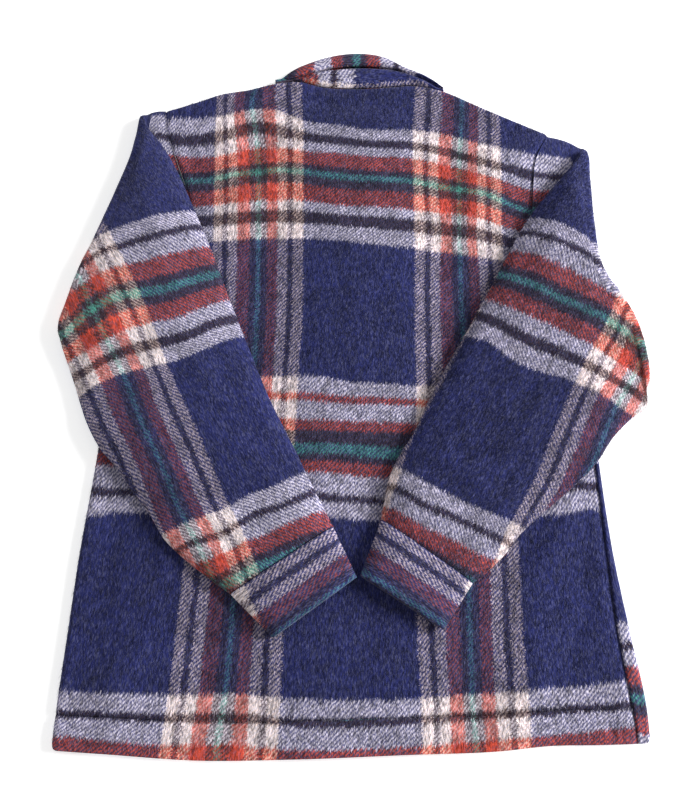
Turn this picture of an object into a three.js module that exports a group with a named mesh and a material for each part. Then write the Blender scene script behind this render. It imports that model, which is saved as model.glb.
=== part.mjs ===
import * as THREE from 'three';

// Plaid wool shirt jacket, laid flat face down with both sleeves folded over its back.
// Millimetres. X runs across the back, Y from hem to collar, Z up from the surface.
// The tables give the cloth's places on a plan whose zero is near the middle of the back.

// Driving dimensions
const WALL = 3.2;
const BODY_THICK = 8.0;
const SEAM_GAP = 0.3;
const ARMHOLE_GAP = 1.3;
const SLEEVE_THICK = 10.2;
const CUFF_WALL = 4.2;
const CUFF_THICK = 12.0;
const LIFT = 0.7;
const NECK_GAP = 1.0;
const FOLD_RADIUS = BODY_THICK + 0.3;
const SIDE_WRAP = 12;
const HEM_TURN_UP = 34;
const HEM_GROOVE = 1.0;
const PLACKET_HALF = 17;
const COLLAR_PLY = 4.8;
const COLLAR_LEAF = 3.2;
const COLLAR_HEIGHT = 13;
const LEAF_INSET = 7;
const BUTTON_RADIUS = 9;
const BUTTON_THICK = 2.0;
const BUTTON_COUNT = 6;
const BUTTON_PITCH = 100;
const BUTTON_LOWEST = -255;
const EDGE_DROOP = 5;

// Lifts of the lapped fronts over the buttons, and of the back over both
const LEFT_LAP_LIFT = BUTTON_THICK + SEAM_GAP;
const RIGHT_LAP_LIFT = LEFT_LAP_LIFT + WALL + SEAM_GAP;
const BACK_LAP_LIFT = RIGHT_LAP_LIFT - (BODY_THICK - 2 * WALL) + SEAM_GAP;

// Half thickness lines of the flattened body tube
const HALF_WALL = WALL / 2;
const HALF_BODY = BODY_THICK / 2;
const MID_RADIUS = HALF_BODY - HALF_WALL;
const HALF_TURN = Math.PI * MID_RADIUS;

// Sides of the body: left and right outlines, and the right side seam seen on top
const SIDES = [
  { y: -336, left: -265.5, right: 278.5, seam: 268 },
  { y: -295, left: -264.5, right: 278.5, seam: 265 },
  { y: -224, left: -261, right: 270, seam: 258 },
  { y: -149, left: -257, right: 261.5, seam: 255 },
  { y: -79, left: -251, right: 257.5, seam: 252.5 },
  { y: -10, left: -246, right: 255, seam: 250 },
  { y: 66, left: -240, right: 252, seam: 247 },
  { y: 92, left: -238, right: 252, seam: 247 },
];

// Lower edge of the hem, and the line of the shoulders and the neck seam
const HEM = [
  { x: -266, y: -328.5 },
  { x: -220, y: -332.4 },
  { x: -130, y: -338 },
  { x: -40, y: -336.6 },
  { x: 50, y: -333.2 },
  { x: 141, y: -330.7 },
  { x: 232, y: -325.7 },
  { x: 279, y: -317.4 },
];
const TOP_EDGE = [
  { x: -240, y: 350 },
  { x: -207, y: 357.5 },
  { x: -168, y: 368 },
  { x: -110, y: 387 },
  { x: -82, y: 396 },
  { x: -52, y: 400 },
  { x: -28, y: 393 },
  { x: 13, y: 390 },
  { x: 54, y: 392.4 },
  { x: 81, y: 394.4 },
  { x: 112, y: 388 },
  { x: 158, y: 363 },
  { x: 203, y: 338 },
  { x: 236, y: 322 },
  { x: 270, y: 306 },
];

// Armholes, from the underarm up to the shoulder
const ARMHOLE_LEFT = [
  { y: 92, x: -238 },
  { y: 97, x: -222 },
  { y: 106, x: -203 },
  { y: 126, x: -185 },
  { y: 160, x: -174 },
  { y: 200, x: -170 },
  { y: 239, x: -172.5 },
  { y: 265, x: -181 },
  { y: 292, x: -190.5 },
  { y: 325, x: -201.5 },
  { y: 357, x: -207.5 },
];
const ARMHOLE_RIGHT = [
  { y: 66, x: 252 },
  { y: 72, x: 236 },
  { y: 84, x: 220 },
  { y: 108, x: 211 },
  { y: 150, x: 207 },
  { y: 200, x: 208 },
  { y: 254, x: 212 },
  { y: 292, x: 218 },
  { y: 322, x: 234 },
];

// Sleeves after the fold, a row for each section: inner (top of arm) edge and underarm edge
const SLEEVE_LEFT = {
  side: -1,
  armhole: ARMHOLE_LEFT,
  foldTop: { x: -238.7, y: 348.9 },
  foldEnd: { x: -302.4, y: 85.9 },
  dent: 0,
  rows: [
    { ax: -224, ay: 331, bx: -297, by: 62 },
    { ax: -206, ay: 306, bx: -281, by: 24 },
    { ax: -188, ay: 274, bx: -264, by: -16 },
    { ax: -168, ay: 230, bx: -246, by: -47 },
    { ax: -145, ay: 176, bx: -228, by: -67 },
    { ax: -121, ay: 113, bx: -210, by: -91 },
    { ax: -98, ay: 56, bx: -189, by: -117 },
    { ax: -75, ay: 1, bx: -173, by: -141 },
    { ax: -52, ay: -45, bx: -152, by: -160 },
    { ax: -30, ay: -90, bx: -129, by: -177 },
    { ax: -10.7, ay: -128.3, bx: -107.8, by: -191.8 },
  ],
  cuff: { ax: 12.2, ay: -176.6, bx: -66.1, by: -231.9 },
};
const SLEEVE_RIGHT = {
  side: 1,
  armhole: ARMHOLE_RIGHT,
  foldTop: { x: 279, y: 300 },
  foldEnd: { x: 318, y: 30 },
  dent: 21,
  rows: [
    { ax: 262, ay: 283, bx: 312, by: -2 },
    { ax: 246, ay: 264, bx: 294, by: -24 },
    { ax: 228, ay: 244, bx: 275, by: -41 },
    { ax: 204, ay: 214, bx: 254, by: -65 },
    { ax: 180, ay: 172, bx: 224, by: -90 },
    { ax: 152, ay: 119, bx: 197, by: -112 },
    { ax: 127, ay: 74, bx: 172, by: -134 },
    { ax: 98, ay: 24, bx: 158, by: -151 },
    { ax: 72, ay: -30, bx: 146, by: -163 },
    { ax: 47, ay: -74, bx: 135, by: -173 },
    { ax: 36, ay: -121.4, bx: 122.5, by: -181.6 },
  ],
  cuff: { ax: 15.4, ay: -175.4, bx: 93.3, by: -224.7 },
};

// Collar: top edge of the near strip, and outline of the far band
const COLLAR = [
  { x: -84, strip: 394.4, out: 399 },
  { x: -66, strip: 398.8, out: 405 },
  { x: -48, strip: 404, out: 415 },
  { x: -18, strip: 410.5, out: 428 },
  { x: 18, strip: 412.5, out: 433 },
  { x: 41, strip: 411, out: 428.5 },
  { x: 71, strip: 404.5, out: 416 },
  { x: 102, strip: 392.5, out: 401 },
  { x: 120, strip: 384.6, out: 389 },
];
const STRIP_LEFT = -81;
const STRIP_RIGHT = 117;
const STRIP_LEAST = 1.8;
const COLLAR_STOPS = [-83, -81, -76, -66, -57, -48, -34, -18, 0, 18, 41, 56, 71, 87, 102, 110, 117, 119];
const NECK = { middle: 18, halfWidth: 102, depth: 74, left: 393, right: 385 };

// Broad folds of the cloth: middle, direction in degrees, half length, half width, height
const BACK_FOLDS = [
  { x: -205, y: -255, turn: 80, long: 70, wide: 18, rise: 1.8 },
  { x: -95, y: -270, turn: 98, long: 60, wide: 20, rise: 1.2 },
  { x: 175, y: -250, turn: 84, long: 70, wide: 19, rise: 1.9 },
  { x: 20, y: 235, turn: 15, long: 80, wide: 26, rise: 1.4 },
];
const SLEEVE_FOLDS = [
  { x: -235, y: 120, turn: 35, long: 60, wide: 17, rise: 1.8 },
  { x: -225, y: 20, turn: 20, long: 50, wide: 15, rise: -1.6 },
  { x: -120, y: -80, turn: 50, long: 50, wide: 16, rise: 1.5 },
  { x: 262, y: 140, turn: 165, long: 50, wide: 16, rise: -2.2 },
  { x: 250, y: 40, turn: 150, long: 55, wide: 16, rise: 1.8 },
  { x: 130, y: -90, turn: 130, long: 50, wide: 16, rise: 1.5 },
];

// Nominal heights of the body's rows of points; hem and top rows follow their edges
const BODY_ROWS = [
  -333, -330, -306, -299, -292, -250, -200, -150, -100, -50, 0, 40, 62, 70, 80, 89, 97,
  108, 128, 160, 200, 240, 275, 305, 335, 358, 376,
];
const RIGHT_FRONT_COLUMNS = [
  0, 0.05, 0.1, 0.15, 0.2, 0.25, 0.34, 0.44, 0.53, 0.61, 0.69, 0.77, 0.83, 0.87, 0.905, 0.95, 1,
];
const TOP_FOLLOWS_FROM = 150;
const TOP_NOMINAL = 380;
const HEM_NOMINAL = -333;
const HEM_FOLLOWS_BELOW = -150;
const TOP_TURN_STEPS = [30, 60, 90];

const CLOTH = { roughness: 0.95, metalness: 0 };
const NAVY = 0x262b55;
const RED = 0x9c4038;
const LIGHT = 0xa9a6bd;
const HORN = 0x2c2530;

const clamp01 = (value) => Math.min(1, Math.max(0, value));
const mix = (from, to, part) => from + (to - from) * part;
const smooth = (value) => {
  const part = clamp01(value);
  return part * part * (3 - 2 * part);
};

// Value of a table's column at a key, straight between rows
function lookUp(rows, key, column, at) {
  const last = rows.length - 1;
  if (at <= rows[0][key]) {
    return rows[0][column];
  }
  for (let index = 0; index < last; index += 1) {
    const low = rows[index];
    const high = rows[index + 1];
    if (at <= high[key]) {
      return mix(low[column], high[column], (at - low[key]) / (high[key] - low[key]));
    }
  }
  return rows[last][column];
}

const hemAt = (x) => lookUp(HEM, 'x', 'y', x);
const topAt = (x) => lookUp(TOP_EDGE, 'x', 'y', x);
const middleAt = (y) => 6 + ((y + 334) / 724) * 12;

// Height that the back gains over the lapped fronts
function backLift(x, y) {
  const away = Math.abs(x - middleAt(y));
  const acrossPart = 1 - smooth((away - PLACKET_HALF - 8) / 85);
  const alongPart = 1 - smooth((y - 335) / 40);
  return BACK_LAP_LIFT * acrossPart * alongPart;
}

// Broad troughs and ridges, faded out along and across each one
function foldRelief(folds, x, y) {
  let total = 0;
  for (const fold of folds) {
    const turn = THREE.MathUtils.degToRad(fold.turn);
    const along = (x - fold.x) * Math.cos(turn) + (y - fold.y) * Math.sin(turn);
    const across = -(x - fold.x) * Math.sin(turn) + (y - fold.y) * Math.cos(turn);
    total += fold.rise * Math.exp(-((along / fold.long) ** 2) - (across / fold.wide) ** 2);
  }
  return total;
}

// A row's real height at x: hem rows follow the hem, upper rows follow the shoulders
function rowHeight(nominal, x) {
  if (nominal > TOP_FOLLOWS_FROM) {
    const part = (nominal - TOP_FOLLOWS_FROM) / (TOP_NOMINAL - TOP_FOLLOWS_FROM);
    return mix(TOP_FOLLOWS_FROM, topAt(x) - HALF_BODY, part);
  }
  if (nominal < HEM_FOLLOWS_BELOW) {
    const part = (HEM_FOLLOWS_BELOW - nominal) / (HEM_FOLLOWS_BELOW - HEM_NOMINAL);
    return mix(HEM_FOLLOWS_BELOW, hemAt(x), part);
  }
  return nominal;
}

// Closed body from an outer and an inner grid of points; a tube's rows close on themselves
function shellGeometry(outer, inner, isTube) {
  const rowCount = outer.length;
  const columnCount = outer[0].length;
  const positions = [];
  for (const grid of [outer, inner]) {
    for (const row of grid) {
      for (const point of row) {
        positions.push(point.x, point.y, point.z);
      }
    }
  }
  const layer = rowCount * columnCount;
  const at = (row, column, side) => side * layer + row * columnCount + (column % columnCount);
  const indices = [];
  const quad = (a, b, c, d) => indices.push(a, b, c, a, c, d);
  const spans = isTube ? columnCount : columnCount - 1;
  for (let row = 0; row < rowCount - 1; row += 1) {
    for (let column = 0; column < spans; column += 1) {
      quad(at(row, column, 0), at(row, column + 1, 0), at(row + 1, column + 1, 0), at(row + 1, column, 0));
      quad(at(row, column, 1), at(row + 1, column, 1), at(row + 1, column + 1, 1), at(row, column + 1, 1));
    }
  }
  for (let column = 0; column < spans; column += 1) {
    const last = rowCount - 1;
    quad(at(0, column, 0), at(0, column, 1), at(0, column + 1, 1), at(0, column + 1, 0));
    quad(at(last, column, 0), at(last, column + 1, 0), at(last, column + 1, 1), at(last, column, 1));
  }
  if (!isTube) {
    for (let row = 0; row < rowCount - 1; row += 1) {
      const last = columnCount - 1;
      quad(at(row, 0, 0), at(row + 1, 0, 0), at(row + 1, 0, 1), at(row, 0, 1));
      quad(at(row, last, 0), at(row, last, 1), at(row + 1, last, 1), at(row + 1, last, 0));
    }
  }
  return facedOut(positions, indices);
}

// Geometry whose triangles are turned so that the enclosed volume is positive
function facedOut(positions, indices) {
  const corner = (index) => new THREE.Vector3().fromArray(positions, 3 * index);
  let volume = 0;
  for (let index = 0; index < indices.length; index += 3) {
    const [a, b, c] = [0, 1, 2].map((step) => corner(indices[index + step]));
    volume += a.dot(b.cross(c));
  }
  const turned = volume < 0 ? indices.slice().reverse() : indices;
  const geometry = new THREE.BufferGeometry();
  geometry.setAttribute('position', new THREE.Float32BufferAttribute(positions, 3));
  geometry.setIndex(turned);
  geometry.computeVertexNormals();
  return geometry;
}

function clothMesh(name, geometry, color) {
  const mesh = new THREE.Mesh(geometry, new THREE.MeshStandardMaterial({ color, ...CLOTH }));
  mesh.name = name;
  return mesh;
}

// Place across the flattened body tube at a distance along the cloth from the side fold:
// positive on the upper layer, then round the fold, then back along the lower layer
function roundSide(edge, inward, along, offset) {
  const start = edge + inward * HALF_BODY;
  if (along >= 0) {
    return { x: start + inward * along, z: HALF_BODY + MID_RADIUS + offset };
  }
  if (along > -HALF_TURN) {
    const turn = -along / MID_RADIUS;
    const reach = MID_RADIUS + offset;
    return { x: start - inward * reach * Math.sin(turn), z: HALF_BODY + reach * Math.cos(turn) };
  }
  return { x: start + inward * (-along - HALF_TURN), z: HALF_BODY - MID_RADIUS - offset };
}

// Where the cloth of the back starts at the left fold and ends at the right side
function backSpan(y) {
  const left = lookUp(SIDES, 'y', 'left', y);
  const onTop = lookUp(ARMHOLE_LEFT, 'y', 'x', y) - left - HALF_BODY;
  const wrapped = mix(-HALF_TURN - SIDE_WRAP, -HALF_BODY, smooth((y - 84) / 8));
  const start = y > 92 ? Math.max(onTop, -HALF_BODY) : wrapped;
  const right = y > 66 ? lookUp(ARMHOLE_RIGHT, 'y', 'x', y) : lookUp(SIDES, 'y', 'seam', y);
  const turnRight = mix(lookUp(SIDES, 'y', 'seam', y), right, smooth((y - 60) / 6));
  return { left, start, end: turnRight - SEAM_GAP / 2 - left - HALF_BODY };
}

// Shares of the panel's width at which its points lie, closer at the ends
function shares(count, endShare) {
  const list = [];
  for (let index = 0; index <= count; index += 1) {
    const even = index / count;
    const eased = 0.5 - 0.5 * Math.cos(Math.PI * even);
    list.push(mix(even, eased, endShare));
  }
  return list;
}

// Groove of the hem's stitching, pressed into the outer face only
function hemGroove(nominal, offset) {
  const isStitchRow = nominal === HEM_NOMINAL + HEM_TURN_UP;
  return isStitchRow && offset > 0 ? -HEM_GROOVE : 0;
}

function backPoint(share, nominal, turnSteps, offset) {
  let y = nominal;
  let place = { x: 0, z: 0 };
  for (let pass = 0; pass < 4; pass += 1) {
    const span = backSpan(y);
    const wrapShares = 5;
    const early = clamp01(share * wrapShares);
    const foldEnd = Math.max(span.start, 0);
    const late = clamp01((share * wrapShares - 1) / (wrapShares - 1));
    const along = mix(mix(span.start, foldEnd, early), span.end, late);
    place = roundSide(span.left, 1, along, offset);
    y = rowHeight(nominal, place.x);
  }
  let lifted = 0;
  if (place.z > HALF_BODY) {
    lifted = backLift(place.x, y) + foldRelief(BACK_FOLDS, place.x, y) + hemGroove(nominal, offset);
  }
  if (turnSteps === 0) {
    return new THREE.Vector3(place.x, y, place.z + lifted);
  }
  const turn = THREE.MathUtils.degToRad(turnSteps);
  const reach = MID_RADIUS + offset;
  const edge = topAt(place.x) - HALF_BODY;
  const drop = HALF_BODY + SEAM_GAP / 2;
  return new THREE.Vector3(
    place.x,
    edge + reach * Math.sin(turn),
    drop + reach * Math.cos(turn) + lifted * (1 - turnSteps / 90),
  );
}

function panelGrid(columns, pointAt, offset) {
  const grid = BODY_ROWS.map((nominal) => columns.map((share) => pointAt(share, nominal, 0, offset)));
  for (const turn of TOP_TURN_STEPS) {
    grid.push(columns.map((share) => pointAt(share, TOP_NOMINAL, turn, offset)));
  }
  return grid;
}

function makeBack() {
  const wrap = [0, 0.05, 0.09, 0.13, 0.17, 0.2];
  const flat = shares(19, 0.3).slice(1).map((share) => mix(0.2, 1, share));
  const columns = [...wrap, ...flat];
  const geometry = shellGeometry(
    panelGrid(columns, backPoint, HALF_WALL),
    panelGrid(columns, backPoint, -HALF_WALL),
    false,
  );
  return clothMesh('back', geometry, NAVY);
}

// Lower boundary of the neck opening in the fronts
function necklineAt(x, halfWidth, depth) {
  const part = clamp01(1 - ((x - NECK.middle) / halfWidth) ** 2);
  const level = mix(NECK.left, NECK.right, (x - NECK.middle + NECK.halfWidth) / (2 * NECK.halfWidth));
  return level - depth * Math.sqrt(part);
}

// Each front lies under the back, from its side seam to the lap at the centre
function frontPoint(side, share, nominal, turnSteps, offset) {
  const isLeft = side < 0;
  let y = nominal;
  let place = { x: 0, z: 0 };
  const reachesNeck = (x) => Math.abs(x - NECK.middle) < NECK.halfWidth;
  for (let pass = 0; pass < 4; pass += 1) {
    const edge = lookUp(SIDES, 'y', isLeft ? 'left' : 'right', y);
    const armhole = lookUp(isLeft ? ARMHOLE_LEFT : ARMHOLE_RIGHT, 'y', 'x', y);
    const hidden = -HALF_TURN - Math.abs(armhole - edge) + HALF_BODY;
    let start = Math.min(-HALF_TURN - SIDE_WRAP - SEAM_GAP, hidden);
    if (!isLeft) {
      const onTop = edge - HALF_BODY - lookUp(SIDES, 'y', 'seam', y) - SEAM_GAP / 2;
      const opened = mix(onTop, -HALF_TURN, smooth((y - 58) / 8));
      start = y > 66 ? Math.min(hidden, -HALF_TURN) : opened;
    }
    const lapEnd = middleAt(y) - side * PLACKET_HALF;
    const end = -HALF_TURN - Math.abs(lapEnd - edge) + HALF_BODY;
    const foldedShare = 0.25;
    const pastFold = Math.min(start, -HALF_TURN - 1);
    const early = clamp01(share / foldedShare);
    const late = clamp01((share - foldedShare) / (1 - foldedShare));
    const along = isLeft ? mix(start, end, share) : mix(mix(start, pastFold - 12, early), end, late);
    place = roundSide(edge, -side, along, offset);
    y = rowHeight(nominal, place.x);
    if (reachesNeck(place.x) && nominal > TOP_FOLLOWS_FROM) {
      const part = (nominal - TOP_FOLLOWS_FROM) / (TOP_NOMINAL - TOP_FOLLOWS_FROM);
      y = mix(TOP_FOLLOWS_FROM, necklineAt(place.x, NECK.halfWidth, NECK.depth), part);
    }
  }
  const away = side * (place.x - middleAt(y));
  const lapLift = isLeft ? LEFT_LAP_LIFT : RIGHT_LAP_LIFT;
  const lift = place.z < HALF_BODY ? lapLift * (1 - smooth((away - PLACKET_HALF - 6) / 36)) : 0;
  if (turnSteps === 0) {
    return new THREE.Vector3(place.x, y, place.z + lift);
  }
  if (reachesNeck(place.x)) {
    return new THREE.Vector3(place.x, y + turnSteps / 90, place.z + lift);
  }
  const turn = THREE.MathUtils.degToRad(turnSteps);
  const reach = MID_RADIUS + offset;
  const edgeY = topAt(place.x) - HALF_BODY;
  const rise = HALF_BODY - SEAM_GAP / 2;
  return new THREE.Vector3(place.x, edgeY + reach * Math.sin(turn), rise - reach * Math.cos(turn));
}

function makeFront(name, side) {
  const fromSide = side < 0 ? shares(13, 0.3) : RIGHT_FRONT_COLUMNS;
  const pointAt = (share, nominal, turn, offset) => frontPoint(side, share, nominal, turn, offset);
  const geometry = shellGeometry(
    panelGrid(fromSide, pointAt, HALF_WALL),
    panelGrid(fromSide, pointAt, -HALF_WALL),
    false,
  );
  return clothMesh(name, geometry, NAVY);
}

// Loop of a flattened tube: distance across from the inner edge, and height in the slab
function slabLoop(width, thick, inset) {
  const radius = thick / 2 - inset;
  const from = inset + radius;
  const to = width - inset - radius;
  const loop = [];
  const flatSteps = 7;
  for (let step = 0; step <= flatSteps; step += 1) {
    loop.push({ across: mix(from, to, step / flatSteps), height: thick - inset });
  }
  for (const turn of [45, 90, 135]) {
    const angle = THREE.MathUtils.degToRad(turn);
    loop.push({ across: to + radius * Math.sin(angle), height: thick / 2 + radius * Math.cos(angle) });
  }
  for (let step = 0; step <= flatSteps; step += 1) {
    loop.push({ across: mix(to, from, step / flatSteps), height: inset });
  }
  for (const turn of [45, 90, 135]) {
    const angle = THREE.MathUtils.degToRad(turn);
    loop.push({ across: from - radius * Math.sin(angle), height: thick / 2 - radius * Math.cos(angle) });
  }
  return loop;
}

// Point of the armhole's line at a share of its height, from shoulder to underarm
function armholePoint(sleeve, share) {
  const count = sleeve.armhole.length - 1;
  const place = (1 - share) * count;
  const index = Math.min(count - 1, Math.floor(place));
  const low = sleeve.armhole[index];
  const high = sleeve.armhole[index + 1];
  const part = place - index;
  return {
    x: mix(low.x, high.x, part) + sleeve.side * ARMHOLE_GAP,
    y: mix(low.y, high.y, part) + 0.5 * share,
  };
}

// Lower face of the folded sleeve: just above the back, lower again past the body's side
function restHeight(sleeve, x, y) {
  const side = lookUp(SIDES, 'y', sleeve.side < 0 ? 'left' : 'right', y);
  const past = sleeve.side * (x - side) + 4;
  const below = smooth((80 - y) / 60);
  return BODY_THICK + LIFT + backLift(x, y) - EDGE_DROOP * smooth(past / 50) * below;
}

// Sections of the sleeve, from the armhole, round the fold and on to the cuff
function sleeveSections(sleeve) {
  const fold = { ax: sleeve.foldTop.x, ay: sleeve.foldTop.y, bx: sleeve.foldEnd.x, by: sleeve.foldEnd.y };
  const sections = [];
  for (const part of [0, 0.35, 0.7, 1]) {
    sections.push({ kind: 'under', part, ...fold, turn: 0, thick: BODY_THICK, dent: part });
  }
  for (const turn of [36, 72, 108, 144, 180]) {
    sections.push({ kind: 'bend', part: 1, ...fold, turn, thick: BODY_THICK, dent: 1 });
  }
  sleeve.rows.forEach((row, index) => {
    const thick = mix(BODY_THICK, SLEEVE_THICK, smooth((index + 1) / 4));
    const dent = Math.max(0, 0.75 - 0.3 * index);
    sections.push({ kind: 'over', part: 1, ...row, turn: 180, thick, dent });
  });
  return sections;
}

// Inward dent of the fold line, widest above its middle
const dentShape = (share) => Math.sin(Math.PI * clamp01(share / 0.78)) ** 2;

function sleevePoint(sleeve, section, across, height, width) {
  const share = across / width;
  const foldX = sleeve.foldEnd.x - sleeve.foldTop.x;
  const foldY = sleeve.foldEnd.y - sleeve.foldTop.y;
  const length = Math.hypot(foldX, foldY);
  const outX = (sleeve.side * -foldY) / length;
  const outY = (sleeve.side * foldX) / length;
  const dent = -sleeve.dent * section.dent * dentShape(share);
  let x = mix(section.ax, section.bx, share) + outX * dent;
  let y = mix(section.ay, section.by, share) + outY * dent;
  if (section.kind === 'over') {
    const rise = foldRelief(SLEEVE_FOLDS, x, y) * smooth(1 - height / section.thick);
    return new THREE.Vector3(x, y, restHeight(sleeve, x, y) + section.thick - height + rise);
  }
  const turn = THREE.MathUtils.degToRad(section.turn);
  const reach = FOLD_RADIUS - height;
  const shift = -FOLD_RADIUS + reach * Math.sin(turn);
  x += outX * shift;
  y += outY * shift;
  if (section.kind === 'under') {
    const start = armholePoint(sleeve, clamp01(share));
    x = mix(start.x, x, section.part);
    y = mix(start.y, y, section.part);
  }
  return new THREE.Vector3(x, y, FOLD_RADIUS - reach * Math.cos(turn));
}

function sectionWidth(section) {
  return Math.hypot(section.bx - section.ax, section.by - section.ay);
}

function makeSleeve(name, sleeve) {
  const sections = sleeveSections(sleeve);
  const grids = [0, WALL].map((inset) => sections.map((section) => {
    const width = sectionWidth(section);
    const loop = slabLoop(width, section.thick, inset);
    return loop.map(({ across, height }) => sleevePoint(sleeve, section, across, height, width));
  }));
  return clothMesh(name, shellGeometry(grids[0], grids[1], true), RED);
}

// Cuff: a thicker flattened band that carries on from the sleeve's last section
function makeCuff(name, sleeve) {
  const last = sleeve.rows[sleeve.rows.length - 1];
  const runA = Math.hypot(sleeve.cuff.ax - last.ax, sleeve.cuff.ay - last.ay);
  const gapShare = (2 * SEAM_GAP) / runA;
  const sections = [gapShare, 0.12, 0.4, 0.7, 0.92, 1].map((part) => ({
    kind: 'over',
    ax: mix(last.ax, sleeve.cuff.ax, part),
    ay: mix(last.ay, sleeve.cuff.ay, part),
    bx: mix(last.bx, sleeve.cuff.bx, part),
    by: mix(last.by, sleeve.cuff.by, part),
    turn: 180,
    thick: mix(SLEEVE_THICK, CUFF_THICK, smooth(4 * part)) - 1.2 * smooth((part - 0.9) / 0.1),
    dent: 0,
  }));
  const grids = [0, CUFF_WALL].map((inset) => sections.map((section) => {
    const width = sectionWidth(section);
    const loop = slabLoop(width, section.thick, inset);
    return loop.map(({ across, height }) => sleevePoint(sleeve, section, across, height, width));
  }));
  return clothMesh(name, shellGeometry(grids[0], grids[1], true), LIGHT);
}

const stripEdge = (x) => Math.max(topAt(x) + NECK_GAP + STRIP_LEAST, lookUp(COLLAR, 'x', 'strip', x));

// Near strip of the collar: rises from the neck seam, two plies thick
function makeCollarStand() {
  const columns = COLLAR_STOPS.map((x) => Math.min(STRIP_RIGHT, Math.max(STRIP_LEFT, x)));
  const rows = [0, 0.15, 0.5, 0.85, 1];
  const grids = [1, -1].map((side) => rows.map((part) => columns.map((x) => {
    const seam = topAt(x) + NECK_GAP;
    const edge = stripEdge(x);
    const rise = smooth((edge - seam) / 18);
    const level = 6 + (1.6 + 3.6 * rise) * Math.sin((Math.PI / 2) * part);
    const half = (COLLAR_PLY / 2) * (part === 0 || part === 1 ? 0.8 : 1);
    return new THREE.Vector3(x, mix(seam, edge, part), level + side * half);
  })));
  return clothMesh('collar_stand', shellGeometry(grids[0], grids[1], false), NAVY);
}

// Section of the far band: a lower leaf in the neck opening, a rounded turn and an upper leaf
function fallSection(x) {
  const start = stripEdge(x) + 2 * SEAM_GAP;
  const out = Math.max(lookUp(COLLAR, 'x', 'out', x), start + 3);
  const breadth = out - start;
  const high = mix(6.4, COLLAR_HEIGHT, smooth((breadth - 3) / 13));
  const radius = Math.min(high / 2, breadth - 1.2);
  const middle = high / 2;
  const slitEnd = start + Math.max(0.6, breadth - COLLAR_PLY - 1);
  const leafEnd = necklineAt(x, NECK.halfWidth - LEAF_INSET, NECK.depth - LEAF_INSET / 2);
  const section = [[leafEnd, 0], [mix(leafEnd, out - radius, 0.5), 0]];
  for (const turn of [0, 30, 60, 90, 120, 150, 180]) {
    const angle = THREE.MathUtils.degToRad(turn);
    section.push([out - radius + radius * Math.sin(angle), middle - middle * Math.cos(angle)]);
  }
  section.push([start + 0.4, high - 0.8]);
  section.push([start, middle + 0.4]);
  section.push([slitEnd, middle + 0.4]);
  section.push([slitEnd, middle - 0.4]);
  section.push([start - 0.2, Math.min(middle - 0.4, COLLAR_LEAF)]);
  section.push([mix(leafEnd, start - 0.2, 0.5), COLLAR_LEAF - 0.05]);
  section.push([leafEnd, COLLAR_LEAF - 0.1]);
  return section.map(([y, z]) => new THREE.Vector3(x, y, z));
}

function makeCollarFall() {
  const sections = COLLAR_STOPS.map(fallSection);
  const count = sections[0].length;
  const positions = sections.flat().flatMap((point) => [point.x, point.y, point.z]);
  const indices = [];
  for (let row = 0; row < sections.length - 1; row += 1) {
    for (let column = 0; column < count; column += 1) {
      const next = (column + 1) % count;
      const a = row * count + column;
      const b = row * count + next;
      indices.push(a, b, b + count, a, b + count, a + count);
    }
  }
  const flatten = (section) => section.map((point) => new THREE.Vector2(point.y, point.z));
  const lastStart = (sections.length - 1) * count;
  for (const [a, b, c] of THREE.ShapeUtils.triangulateShape(flatten(sections[0]), [])) {
    indices.push(a, c, b);
  }
  for (const [a, b, c] of THREE.ShapeUtils.triangulateShape(flatten(sections[sections.length - 1]), [])) {
    indices.push(lastStart + a, lastStart + b, lastStart + c);
  }
  return clothMesh('collar_fall', facedOut(positions, indices), RED);
}

// Plain round buttons between the lap and the surface
function makeButtons() {
  const buttons = [];
  for (let index = 0; index < BUTTON_COUNT; index += 1) {
    const y = BUTTON_LOWEST + index * BUTTON_PITCH;
    const geometry = new THREE.CylinderGeometry(BUTTON_RADIUS, BUTTON_RADIUS, BUTTON_THICK, 16);
    geometry.rotateX(Math.PI / 2);
    geometry.translate(middleAt(y), y, BUTTON_THICK / 2);
    const material = new THREE.MeshStandardMaterial({ color: HORN, roughness: 0.4, metalness: 0 });
    const button = new THREE.Mesh(geometry, material);
    button.name = `button_${index + 1}`;
    buttons.push(button);
  }
  return buttons;
}

const jacket = new THREE.Group();
jacket.add(
  makeBack(),
  makeFront('front_left', -1),
  makeFront('front_right', 1),
  makeSleeve('sleeve_left', SLEEVE_LEFT),
  makeSleeve('sleeve_right', SLEEVE_RIGHT),
  makeCuff('cuff_left', SLEEVE_LEFT),
  makeCuff('cuff_right', SLEEVE_RIGHT),
  makeCollarStand(),
  makeCollarFall(),
  ...makeButtons(),
);

// The origin is the middle of the footprint, on the surface
const bounds = new THREE.Box3().setFromObject(jacket);
const centre = bounds.getCenter(new THREE.Vector3());
jacket.position.set(-centre.x, -centre.y, -bounds.min.z);
jacket.updateMatrixWorld(true);

export default jacket;
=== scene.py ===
"""Plaid wool shirt jacket, laid face down with both sleeves folded over its back.

Every cloth piece is a closed shell of real thickness on the form of its solid. Plan places are in
millimetres, X across the back and Y from hem to collar. new_piece moves them into the row frame.
"""

import logging
import math
from dataclasses import dataclass, field
from enum import Enum
from typing import ClassVar

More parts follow.
